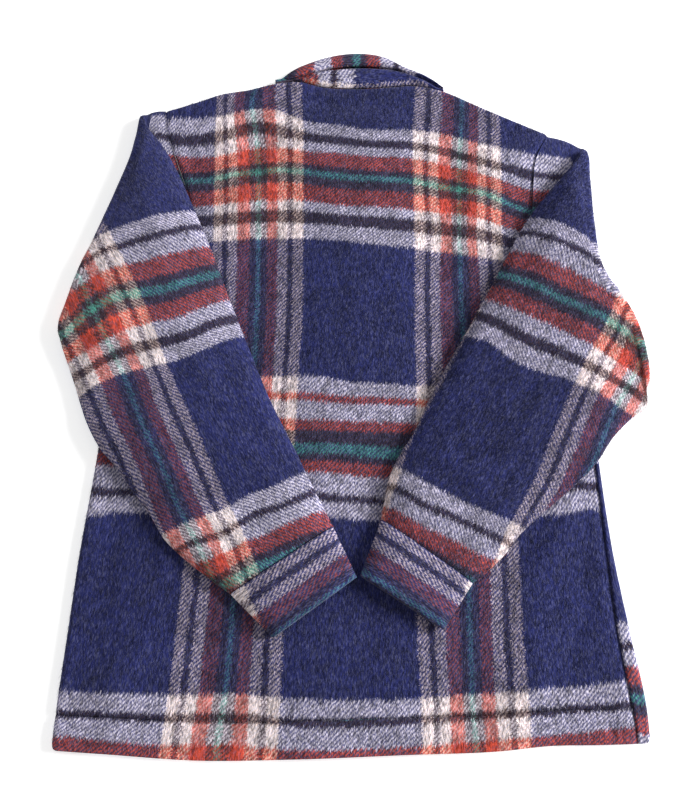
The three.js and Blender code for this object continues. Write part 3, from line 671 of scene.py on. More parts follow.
@dataclass(frozen=True)
class BrushedPlaid:
    """Brushed woollen twill: a long soft nap over a two and two twill, matt, with a pale sheen.

    The nap blurs the stripes' edges along its own direction, so a lookup in the sett is shifted
    by fine noise that is drawn out along the hairs. Sizes are in millimetres of cloth. A real
    hair is about 0.03 wide; these are drawn as tufts of 0.45 to 2.5, so that they show.
    """

    name: str
    weft: tuple[Stripe, ...]
    weft_from: float
    weft_span: float
    weft_repeats: bool
    blur_along: float = 16.0
    blur_across: float = 10.0
    ridge_fuzz: tuple[float, float] = (6.5, 5.0)
    weft_share: tuple[float, float] = (0.34, 0.9)
    product_share: tuple[float, float] = (0.93, 0.5)
    red_kept: float = 0.38
    streak_light: tuple[float, float] = (0.38, 1.62)
    cloud_light: tuple[float, float] = (0.78, 1.22)
    fleck_share: float = 0.24
    fleck_colour: str = "#9c9fce"
    sheen_colour: str = "#c9c8e0"

    def ramp(
        self, tree: bpy.types.NodeTree, at: bpy.types.NodeSocket, bands: tuple[Stripe, ...],
        start: float, span: float,
    ) -> bpy.types.NodeSocket:
        """Colour of the yarn at a place in the sett.

        Args:
            tree: The material's nodes.
            at: Place as a share of the span, from 0 to 1.
            bands: Where each stripe starts, and its yarn.
            start: Distance in the cloth at which the span starts.
            span: Width of the span.
        Returns:
            The socket with the colour.
        """
        made = node(tree, "ValToRGB", {"Fac": at})
        stops = made.color_ramp.elements
        made.color_ramp.interpolation = "CONSTANT"
        places = [(0.0, Yarn.NAVY)] if bands[0][0] > start else []
        places += [((begin - start) / span, yarn) for begin, yarn in bands]
        while len(stops) < len(places):
            stops.new(1.0)
        for stop, (place, yarn) in zip(stops, places):
            stop.position = place
            stop.color = hex_to_linear(yarn.value)
        return made.outputs["Color"]

    def kept_red(
        self, tree: bpy.types.NodeTree, warp: bpy.types.NodeSocket, weft: bpy.types.NodeSocket,
        share: bpy.types.NodeSocket,
    ) -> bpy.types.NodeSocket:
        """Weft's share, made less where a red warp crosses a pale weft, so that salmon shows.

        Redness is the warp's red less its blue, and paleness the weft's brightness.

        Args:
            tree: The material's nodes.
            warp: Colour of the warp.
            weft: Colour of the weft.
            share: The weft's share, from 0 to 1.
        Returns:
            The socket with the share.
        """
        parts = node(tree, "SeparateColor", {0: warp})
        red = node(tree, "Math", {0: parts.outputs[0], 1: parts.outputs[2]}, operation="SUBTRACT")
        red = node(tree, "MapRange", {"Value": red.outputs[0], "From Min": 0.3, "From Max": 0.5})
        pale = node(tree, "RGBToBW", {0: weft})
        pale = node(tree, "MapRange", {
            "Value": pale.outputs[0], "From Min": 0.3, "From Max": 0.6, "To Max": self.red_kept,
        })
        both = node(tree, "Math", {0: red.outputs[0], 1: pale.outputs[0]}, operation="MULTIPLY")
        left = node(tree, "Math", {0: 1.0, 1: both.outputs[0]}, operation="SUBTRACT")
        return node(tree, "Math", {0: share, 1: left.outputs[0]}, operation="MULTIPLY").outputs[0]

    def crossing(
        self, tree: bpy.types.NodeTree, warp: bpy.types.NodeSocket, weft: bpy.types.NodeSocket,
        share: bpy.types.NodeSocket,
    ) -> bpy.types.NodeSocket:
        """Colour where the yarns cross, between a plain mix and a product of both.

        The product is of powers whose exponents are the shares. It counts for more where the
        mix is dark, since hairs of both yarns lie over each other there.

        Args:
            tree: The material's nodes.
            warp: Colour of the warp.
            weft: Colour of the weft.
            share: The weft's share, from 0 to 1.
        Returns:
            The socket with the colour.
        """
        share = self.kept_red(tree, warp, weft, share)
        rest = node(tree, "Math", {0: 1.0, 1: share}, operation="SUBTRACT").outputs[0]
        over = node(tree, "Gamma", {"Color": weft, "Gamma": share}).outputs[0]
        under = node(tree, "Gamma", {"Color": warp, "Gamma": rest}).outputs[0]
        product = node(tree, "VectorMath", {0: over, 1: under}, operation="MULTIPLY").outputs[0]
        plain = node(tree, "Mix", {0: share, 6: warp, 7: weft}, data_type="RGBA").outputs[2]
        pale = node(tree, "RGBToBW", {0: plain}).outputs[0]
        part = node(tree, "MapRange", {
            "Value": pale, "From Min": 0.08, "From Max": 0.42, "To Min": self.product_share[0],
            "To Max": self.product_share[1],
        }).outputs[0]
        return node(tree, "Mix", {0: part, 6: plain, 7: product}, data_type="RGBA").outputs[2]

    def material(self) -> bpy.types.Material:
        """Builds the nodes: twill of warp and weft colours, nap streaks, bump and sheen."""
        made = bpy.data.materials.new(self.name)
        made.use_nodes = True
        tree = made.node_tree
        tree.nodes.clear()

        def math_of(operation: str, *values: float | bpy.types.NodeSocket) -> bpy.types.NodeSocket:
            """One sum of a Math node."""
            return node(tree, "Math", dict(enumerate(values)), operation=operation).outputs[0]

        def spread(
            value: bpy.types.NodeSocket, low: float, high: float, *to: float,
        ) -> bpy.types.NodeSocket:
            """Maps a range onto another, held at its ends."""
            inputs = {"Value": value, "From Min": low, "From Max": high}
            inputs.update({"To Min": to[0], "To Max": to[1]})
            return node(tree, "MapRange", inputs, interpolation_type="SMOOTHSTEP").outputs[0]

        cloth = node(tree, "Attribute", attribute_name="cloth")
        parts = node(tree, "SeparateXYZ", {0: cloth.outputs["Vector"]})
        across, along, lean = parts.outputs[0], parts.outputs[1], parts.outputs[2]

        def hairs(width: float, length: float, seed: float) -> bpy.types.NodeSocket:
            """Noise about 0.5, of a width across and a length along the hairs."""
            place = node(tree, "CombineXYZ", {
                0: math_of("DIVIDE", across, width), 1: math_of("DIVIDE", along, length), 2: seed,
            })
            return node(tree, "TexNoise", {
                "Vector": place.outputs[0], "Scale": 1.0, "Detail": 2.0, "Roughness": 0.55,
            }).outputs["Fac"]

        fine, tuft = hairs(0.45, 6.0, 1.5), hairs(1.5, 8.0, 7.5)
        caught = hairs(2.5, 1.1, 11.5)
        streak, fleck = hairs(1.2, 5.0, 13.5), hairs(0.9, 3.6, 17.5)
        cloudy = hairs(22.0, 30.0, 21.5)

        # Where the sett is read, shifted by the nap
        shift_along = math_of("MULTIPLY", math_of("SUBTRACT", fine, 0.5), self.blur_along)
        shift_tuft = math_of("MULTIPLY", math_of("SUBTRACT", tuft, 0.5), self.blur_along / 3)
        shift_across = math_of("MULTIPLY", math_of("SUBTRACT", caught, 0.5), self.blur_across)
        warp_place = math_of("DIVIDE", math_of("ADD", across, shift_across), WARP_REPEAT)
        weft_place = math_of("ADD", math_of("ADD", along, shift_along), shift_tuft)
        weft_place = math_of("SUBTRACT", weft_place, self.weft_from)
        weft_place = math_of("DIVIDE", weft_place, self.weft_span)
        if self.weft_repeats:
            weft_place = math_of("FRACT", weft_place)
        warp = self.ramp(tree, math_of("FRACT", warp_place), WARP, 0.0, WARP_REPEAT)
        weft = self.ramp(tree, weft_place, self.weft, self.weft_from, self.weft_span)

        # Two and two twill with more weft than warp on its face, its ridges blurred by the nap
        ridge = math_of("ADD", math_of("MULTIPLY", across, lean), along)
        fuzz = math_of("MULTIPLY", math_of("SUBTRACT", fine, 0.5), self.ridge_fuzz[0])
        tufts = math_of("MULTIPLY", tuft, self.ridge_fuzz[1])
        ridge = math_of("ADD", math_of("ADD", ridge, fuzz), tufts)
        phase = math_of("FRACT", math_of("DIVIDE", ridge, TWILL_PITCH))
        rise = math_of("ABSOLUTE", math_of("SUBTRACT", phase, 0.5))
        twill = spread(rise, 0.08, 0.42, *self.weft_share)
        woven = self.crossing(tree, warp, weft, twill)

        # Hairs catch more or less light, and a few pale ones lie over the dark yarns
        lit = spread(streak, 0.25, 0.75, *self.streak_light)
        shade = math_of("MULTIPLY", lit, spread(cloudy, 0.25, 0.75, *self.cloud_light))
        toned = node(tree, "VectorMath", {0: woven, "Scale": shade}, operation="SCALE").outputs[0]
        colour = node(tree, "Mix", {
            0: spread(fleck, 0.44, 0.78, 0.0, self.fleck_share), 6: toned,
            7: hex_to_linear(self.fleck_colour),
        }, data_type="RGBA").outputs[2]
        height = math_of("ADD", math_of("MULTIPLY", twill, 0.5), streak)
        bump = node(tree, "Bump", {"Height": height, "Strength": 0.6, "Distance": 0.001})
        shader = node(tree, "BsdfPrincipled", {
            "Base Color": colour, "Roughness": 0.93, "Specular IOR Level": 0.2,
            "Sheen Weight": 0.22, "Sheen Roughness": 0.45,
            "Sheen Tint": hex_to_linear(self.sheen_colour), "Normal": bump.outputs[0],
        })
        node(tree, "OutputMaterial", {0: shader.outputs[0]})
        return made


@dataclass(frozen=True)
class HornButton:
    """Polished dark horn, turned: smooth, with faint brown clouds about 6 mm across."""

    name: str = "polished_horn"
    dark: str = "#17121a"
    light: str = "#4a3b3c"

    def material(self) -> bpy.types.Material:
        """Builds the nodes: cloudy browns under a soft gloss."""
        made = bpy.data.materials.new(self.name)
        made.use_nodes = True
        tree = made.node_tree
        tree.nodes.clear()
        place = node(tree, "TexCoord").outputs["Object"]
        cloud = node(tree, "TexNoise", {"Vector": place, "Scale": 160.0, "Detail": 3.0})
        colour = node(tree, "Mix", {
            0: cloud.outputs["Fac"], 6: hex_to_linear(self.dark), 7: hex_to_linear(self.light),
        }, data_type="RGBA").outputs[2]
        shader = node(tree, "BsdfPrincipled", {
            "Base Color": colour, "Roughness": 0.32, "IOR": 1.54,
        })
        node(tree, "OutputMaterial", {0: shader.outputs[0]})
        return made


@dataclass
class Nap:
    """Combed hairs that stand out of the cloth, each a slim closed spike of four faces.

    Each stands for a tuft of real hairs, so it is several times as wide as one.
    """

    name: str
    count: int
    seed: int
    length: tuple[float, float] = (3.5, 8.0)
    width: float = 0.14
    lift: float = 0.17
    swing: float = 0.42
    rooted: float = 0.15

    def grow(self, surface: Grid, cloth: Grid, weight: Grid) -> bpy.types.Object:
        """Spikes on random spots of a grid of points, leaning along the weft coordinate.

        Args:
            surface: Grid of outer points in plan millimetres.
            cloth: Cloth coordinates of the grid.
            weight: How thick the nap is on each cell of the grid, from 0 to 1.
        Returns:
            The nap as one object.
        """
        random = np.random.default_rng(self.seed)
        a, b = surface[:-1, :-1].reshape(-1, 3), surface[:-1, 1:].reshape(-1, 3)
        c, d = surface[1:, 1:].reshape(-1, 3), surface[1:, :-1].reshape(-1, 3)
        normal = np.cross(c - a, d - b)
        area = np.linalg.norm(normal, axis=1)
        chance = area * weight.ravel()
        cell = random.choice(len(area), self.count, p=chance / chance.sum())
        s, t = random.random((2, self.count, 1))
        root = mix(mix(a[cell], b[cell], s), mix(d[cell], c[cell], s), t)
        up = normal[cell] / np.maximum(area[cell], 1e-9)[:, None]
        corner = [cloth[:-1, :-1], cloth[:-1, 1:], cloth[1:, 1:], cloth[1:, :-1]]
        ca, cb, cc, cd = (grid.reshape(-1, 3)[cell] for grid in corner)
        own = mix(mix(ca, cb, s), mix(cd, cc, s), t)
        run = (c - b)[cell] + (d - a)[cell]
        gain = ((cc - cb) + (cd - ca))[:, 1:2]
        comb = run * np.sign(gain + 1e-9)
        comb /= np.maximum(np.linalg.norm(comb, axis=1), 1e-9)[:, None]
        side = np.cross(up, comb)
        turn = random.normal(0, self.swing, (self.count, 1))
        rise = np.abs(random.normal(0, self.lift, (self.count, 1))) + 0.05
        way = np.cos(turn) * comb + np.sin(turn) * side
        long = random.uniform(*self.length, (self.count, 1))
        cross = np.cross(way, up)
        base = root - self.rooted * up
        tip = root + long * (way * np.cos(rise) + up * np.sin(rise))
        wide = self.width * random.uniform(0.6, 1.3, (self.count, 1))
        aside, above = cross * wide, up * wide * 1.8
        points = np.stack([base + aside, base - aside, base + above, tip], 1).reshape(-1, 3)
        faces = np.array([(0, 2, 3), (2, 1, 3), (1, 0, 3), (0, 1, 2)])
        faces = (faces[None] + 4 * np.arange(self.count)[:, None, None]).reshape(-1, 3)
        piece = new_piece(self.name, points, faces, np.repeat(own, 4, 0))
        self.lay_map(piece)
        return piece

    def lay_map(self, piece: bpy.types.Object) -> None:
        """Gives each face its own small triangle on a square map, row by row."""
        faces = len(piece.data.polygons)
        side = math.ceil(math.sqrt(faces))
        cell = np.arange(faces)
        start = np.stack([cell % side, cell // side], -1)[:, None, :]
        corner = np.array([(0.1, 0.1), (0.9, 0.1), (0.1, 0.9)])[None]
        layer = piece.data.uv_layers.new(name="OFBake")
        layer.data.foreach_set("uv", ((start + corner) / side).astype(np.float32).ravel())


def dress(piece: bpy.types.Object, material: bpy.types.Material) -> None:
    """Gives a cloth piece its material and its body, and reports it.

    Args:
        piece: The piece.
        material: The plaid that it is cut from.
    """
    piece.data.materials.append(material)
    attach(piece, "root")
    LOG.info("%s: %d faces", piece.name, len(piece.data.polygons))


class ClothPiece:
    """Cloth piece closed between two faces, each a grid of points with its cloth coordinates."""

    name: str
    node_name: str
    faces: ClassVar[tuple[float, float]] = (1, -1)
    ring: ClassVar[bool] = False

    def surface(self, face: float) -> tuple[Grid, Grid]:
        """Points and cloth coordinates of one face, which each kind of piece works out."""
        raise NotImplementedError

    def sew(self, material: bpy.types.Material) -> tuple[bpy.types.Object, Grid, Grid]:
        """Builds the shell, in place of its solid.

        Args:
            material: The plaid that it is cut from.
        Returns:
            The piece, and its outer face's points and cloth coordinates.
        """
        outer, cloth = self.surface(self.faces[0])
        inner, _ = self.surface(self.faces[1])
        piece = shell(self.name, outer, inner, cloth, self.ring)
        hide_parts(self.node_name)
        dress(piece, material)
        return piece, outer, cloth


def body_rows() -> tuple[Grid, Grid]:
    """Rows of the body's grids, closer at the hem's edge, at its stitching and at the shoulder.

    Returns:
        Nominal height of each row, and its turn round the shoulder in degrees.
    """
    hem = [-333, -332.6, -332, -331, -329.5, -327, -323, -318, -312, -307.5, -305, -303.8]
    stitch = [-303.1, -302.7, -302.3, -301.9, -301.5, -301.1, -300.6, -300, -299, -297.6]
    stitch += [-295.4, -292.6, -289.4]
    flat = np.linspace(-286, 377, 205)
    turns = [12, 26, 40, 55, 70, 90]
    nominal = np.concatenate([hem, stitch, flat, np.full(len(turns), TOP_NOMINAL)])
    return nominal[:, None], np.concatenate([np.zeros(len(nominal) - len(turns)), turns])[:, None]


@dataclass
class LaidCloth:
    """Grids of a panel laid on the flattened body, in plan millimetres.

    They are places, distance along the cloth from the side fold, where the cloth starts and ends
    along itself, nominal height, turn round the shoulder in degrees, and distance outwards from
    the middle of the cloth.
    """

    x: Grid
    y: Grid
    z: Grid
    along: Grid
    start: Grid
    end: Grid
    nominal: Grid
    turn: Grid
    offset: Grid


@dataclass
class Back(ClothPiece):
    """Back of the body, wrapped round the left side, with a hem turned up and stitched.

    Seams and stitching are bell shaped grooves, each given by its depth and its width.
    """

    name: str = "back_cloth"
    node_name: str = "back"
    wrap_columns: int = 12
    flat_columns: int = 168
    edge_crowding: float = 0.35
    grooves: tuple[tuple[float, float], ...] = ((1.5, 3.2), (2.2, 0.8))
    puckers: tuple[float, float] = (0.45, 9.0)
    hem_puff: tuple[float, float, float] = (-317, 0.7, 9.0)
    side_seam: tuple[float, float] = (1.8, 4.5)
    armhole_seam: tuple[float, float] = (1.3, 3.5)
    neck_seam: tuple[float, float] = (0.9, 5.0)
    hairs: int = 44000
    flat_size: tuple[float, float] = (0.56, 0.75)
    flat_area: float = 0.385

    def span(self, y: Grid) -> tuple[Grid, Grid, Grid]:
        """Where the cloth lies at a height.

        Args:
            y: Places up.
        Returns:
            Left outline, and where the cloth starts and ends along itself from there.
        """
        left = BODY.side(1, y)
        on_top = through(ARMHOLE_LEFT[:, 0], ARMHOLE_LEFT[:, 1], y) - left - HALF_BODY
        wrapped = mix(-HALF_TURN - SIDE_WRAP, -HALF_BODY, smooth((y - 84) / 8))
        start = np.where(y > 92, np.maximum(on_top, -HALF_BODY), wrapped)
        seam = BODY.side(3, y)
        armhole = through(ARMHOLE_RIGHT[:, 0], ARMHOLE_RIGHT[:, 1], y)
        right = mix(seam, np.where(y > 66, armhole, seam), smooth((y - 60) / 6))
        return left, start, right - SEAM_GAP / 2 - left - HALF_BODY

    def surface(self, face: float) -> tuple[Grid, Grid]:
        """One face of the cloth, laid row by row round the side fold and across the back.

        Args:
            face: 1 for the outer face and -1 for the inner one.
        Returns:
            Points of the grid, and their cloth coordinates.
        """
        nominal, turn = body_rows()
        even = np.linspace(0, 1, self.flat_columns)
        eased = mix(even, 0.5 - 0.5 * np.cos(math.pi * even), self.edge_crowding)
        wrap = np.linspace(0, 1, self.wrap_columns, endpoint=False)
        early = np.concatenate([wrap, np.ones(self.flat_columns)])[None, :]
        late = np.concatenate([np.zeros(self.wrap_columns), eased])[None, :]
        nominal, turn, early, late = np.broadcast_arrays(nominal, turn, early, late)
        y = nominal.astype(float)
        offset = np.full_like(y, face * HALF_WALL)
        for _ in range(5):
            left, start, end = self.span(y)
            along = mix(mix(start, np.maximum(start, 0), early), end, late)
            x, _ = BODY.round_side(left, 1, along, offset)
            y = BODY.row_height(nominal, x)
        offset = offset * rounded(nominal - HEM_NOMINAL, HALF_WALL)
        offset = offset * (rounded(end - along, HALF_WALL) * rounded(along - start, HALF_WALL))
        x, z = BODY.round_side(left, 1, along, offset)
        y = BODY.row_height(nominal, x) + BODY.corner(nominal, x - left)
        return self.finish(LaidCloth(x, y, z, along, start, end, nominal, turn, offset), face > 0)

    def finish(self, laid: LaidCloth, stitched: bool) -> tuple[Grid, Grid]:
        """Adds the folds and seams to the plain form, turns it in at the shoulder, reads the cloth.

        Args:
            laid: The panel on its plain form.
            stitched: True on the face that shows the stitching.
        Returns:
            Points of the grid, and their cloth coordinates.
        """
        x, y, z = laid.x, laid.y, laid.z
        upper = smooth((z - HALF_BODY) / 2)
        lifted = upper * (BODY.back_lift(x, y) + relief(BACK_FOLDS, x, y))
        if stitched:
            lifted = lifted + upper * self.stitching(laid)
        angle = np.radians(laid.turn)
        reach = MID_RADIUS + laid.offset
        edge = BODY.top(x) - HALF_BODY
        turned = laid.turn > 0
        new_y = np.where(turned, edge + reach * np.sin(angle), y)
        round_z = HALF_BODY + SEAM_GAP / 2 + reach * np.cos(angle) + lifted * (1 - laid.turn / 90)
        new_z = np.where(turned, round_z, z + lifted)
        unfolded = np.where(z > HALF_BODY, x, 2 * BODY.side(1, y) - x)
        across, weft = body_cloth(unfolded, y)
        points = np.stack([x, new_y, new_z], -1)
        return points, np.stack([across, weft, np.ones_like(across)], -1)

    def stitching(self, laid: LaidCloth) -> Grid:
        """Groove of the hem's stitching with small puckers, and cloth drawn down at the seams.

        Args:
            laid: The panel on its plain form.
        Returns:
            Height gained, most of it negative.
        """
        from_line = laid.nominal - STITCH_NOMINAL - 0.7 * waves(laid.x, 5, (61, 23, 140))
        hem = sum(-depth * bell(from_line, width) for depth, width in self.grooves)
        rise, width = self.puckers
        hem = hem + rise * waves(laid.x, 11, (9, 13.5, 21)) * bell(from_line, width)
        middle, rise, width = self.hem_puff
        hem = hem + rise * bell(laid.nominal - middle, width)
        seam = -self.side_seam[0] * bell(laid.end - laid.along, self.side_seam[1])
        armhole = self.armhole_seam[0] * bell(laid.along - laid.start, self.armhole_seam[1])
        neck = self.neck_seam[0] * bell(laid.nominal - TOP_NOMINAL, self.neck_seam[1])
        at_neck = np.abs(laid.x - NECK_MIDDLE) < 90
        seams = seam - armhole * smooth((laid.y - 100) / 20) - neck * at_neck
        return np.where(laid.nominal < -260, hem, 0) + seams

    def build(self, material: bpy.types.Material) -> None:
        """The back's shell with its nap.

        Args:
            material: The plaid that it is cut from.
        """
        piece, outer, cloth = self.sew(material)
        centre = (outer[:-1, :-1] + outer[1:, 1:]) / 2
        seen = (centre[..., 2] > 5) * self.uncovered(centre[..., 0], centre[..., 1])
        seen = seen * smooth((centre[..., 1] - BODY.hem(centre[..., 0]) - 5) / 8)
        nap = Nap("back_nap", self.hairs, 3).grow(outer, cloth, seen)
        dress(nap, material)

    def uncovered(self, x: Grid, y: Grid) -> Grid:
        """How thick the nap is: full where no sleeve lies over the back, thin under them.

        Args:
            x: Places across.
            y: Places up.
        Returns:
            The nap's weight.
        """
        hidden = np.zeros(x.shape, bool)
        for rows, side, lowest in ((ROWS_LEFT, -1, -175), (ROWS_RIGHT, 1, -165)):
            inner = np.interp(y, rows[::-1, 1], rows[::-1, 0])
            outer = np.interp(y, rows[::-1, 3], rows[::-1, 2])
            hidden |= (side * (x - inner) > 12) & (side * (outer - x) > 12) & (y > lowest)
        return np.where(hidden, 0.03, 1.0)


@dataclass
class Front(ClothPiece):
    """One front: from the side seam under the back to the lap at the centre.

    Its cloth is the back's, shifted so that the check doesn't match at the seam.
    """

    name: str
    node_name: str
    side: int
    columns: int = 54
    warp_shift: float = 0.0
    weft_shift: float = 54.0
    flat_size: tuple[float, float] = (0.31, 0.73)
    flat_area: float = 0.2

    def span(self, y: Grid) -> tuple[Grid, Grid, Grid]:
        """Where the cloth lies at a height.

        Args:
            y: Places up.
        Returns:
            Side outline, and where the cloth starts and ends along itself from there.
        """
        edge = BODY.side(1 if self.side < 0 else 2, y)
        table = ARMHOLE_LEFT if self.side < 0 else ARMHOLE_RIGHT
        armhole = through(table[:, 0], table[:, 1], y)
        hidden = -HALF_TURN - np.abs(armhole - edge) + HALF_BODY
        start = np.minimum(-HALF_TURN - SIDE_WRAP - SEAM_GAP, hidden)
        if self.side > 0:
            on_top = edge - HALF_BODY - BODY.side(3, y) - SEAM_GAP / 2
            opened = mix(on_top, -HALF_TURN, smooth((y - 58) / 8))
            start = np.where(y > 66, np.minimum(hidden, -HALF_TURN), opened)
        lap_end = BODY.middle(y) - self.side * PLACKET_HALF
        return edge, start, -HALF_TURN - np.abs(lap_end - edge) + HALF_BODY

    def surface(self, face: float) -> tuple[Grid, Grid]:
        """One face of the cloth, laid row by row from its seam, round the side and to the lap.

        Args:
            face: 1 for the outer face and -1 for the inner one.
        Returns:
            Points of the grid, and their cloth coordinates.
        """
        nominal, turn = (rows[::2] for rows in body_rows())
        even = np.linspace(0, 1, self.columns)
        share = (even if self.side < 0 else even**1.35)[None, :]
        nominal, turn, share = np.broadcast_arrays(nominal, turn, share)
        y = nominal.astype(float)
        whole = np.full_like(y, face * HALF_WALL)
        for _ in range(5):
            edge, start, end = self.span(y)
            along = mix(start, end, share)
            if self.side > 0:
                past = np.minimum(start, -HALF_TURN - 1) - 12
                early, late = np.clip(share / 0.25, 0, 1), np.clip((share - 0.25) / 0.75, 0, 1)
                along = mix(mix(start, past, early), end, late)
            rim = rounded(np.abs(along - start), HALF_WALL)
            offset = whole * (rim * rounded(nominal - HEM_NOMINAL, HALF_WALL))
            x, z = BODY.round_side(edge, -self.side, along, offset)
            part = (nominal - TOP_FOLLOWS_FROM) / (TOP_NOMINAL - TOP_FOLLOWS_FROM)
            opening = mix(TOP_FOLLOWS_FROM, BODY.neckline(x, NECK_HALF, NECK_DEPTH), part)
            in_neck = (np.abs(x - NECK_MIDDLE) < NECK_HALF) & (nominal > TOP_FOLLOWS_FROM)
            y = np.where(in_neck, opening, BODY.row_height(nominal, x))
            y = y + BODY.corner(nominal, np.abs(x - edge))
        away = self.side * (x - BODY.middle(y))
        lap = LEFT_LAP_LIFT if self.side < 0 else RIGHT_LAP_LIFT
        lift = np.where(z < HALF_BODY, lap * (1 - smooth((away - PLACKET_HALF - 6) / 36)), 0)
        angle, reach = np.radians(turn), MID_RADIUS + whole
        rounds = (turn > 0) & ~in_neck
        at_top = np.where(rounds, BODY.top(x) - HALF_BODY + reach * np.sin(angle), y + turn / 90)
        new_y = np.where(turn > 0, at_top, y)
        new_z = np.where(rounds, HALF_BODY - SEAM_GAP / 2 - reach * np.cos(angle), z + lift)
        across, weft = body_cloth(x - 2 * (x - edge) * (z > HALF_BODY), y)
        across, weft = across + self.warp_shift, weft + self.weft_shift
        points = np.stack([x, new_y, new_z], -1)
        return points, np.stack([across, weft, -np.ones_like(across)], -1)

    def build(self, material: bpy.types.Material) -> None:
        """The front's shell.

        Args:
            material: The plaid that it is cut from.
        """
        piece, _, _ = self.sew(material)


def flat_loop(
    width: Grid, thick: Grid, inset: float, upper: int, lower: int,
) -> tuple[Grid, Grid, Grid]:
    """Section of a flattened tube with soft edges, an eighth power oval.

    Args:
        width: Width of each section, as a column.
        thick: Thickness of each section, as a column.
        inset: Distance inwards from the outer face.
        upper: Points on the side that is seen.
        lower: Points on the side that lies down.
    Returns:
        Distance across, depth below the seen side, and the distance across when unrolled.
    """
    seen = np.sin(np.linspace(-math.pi / 2, math.pi / 2, upper, endpoint=False))
    under = np.sin(np.linspace(math.pi / 2, -math.pi / 2, lower, endpoint=False))
    place = np.concatenate([seen, under])[None, :]
    sign = np.concatenate([np.ones(upper), -np.ones(lower)])[None, :]
    bulge = sign * np.sqrt(np.maximum(0, 1 - np.abs(place) ** 8))
    across = width / 2 + (width / 2 - inset) * place
    depth = thick / 2 - (thick / 2 - inset) * bulge
    unrolled = np.where(sign > 0, across, -across) + 0 * depth
    return across, depth, unrolled


def chord(s: dict[str, Grid]) -> Grid:
    """Width of sections, straight from edge a to edge b."""
    return np.hypot(s["bx"] - s["ax"], s["by"] - s["ay"])


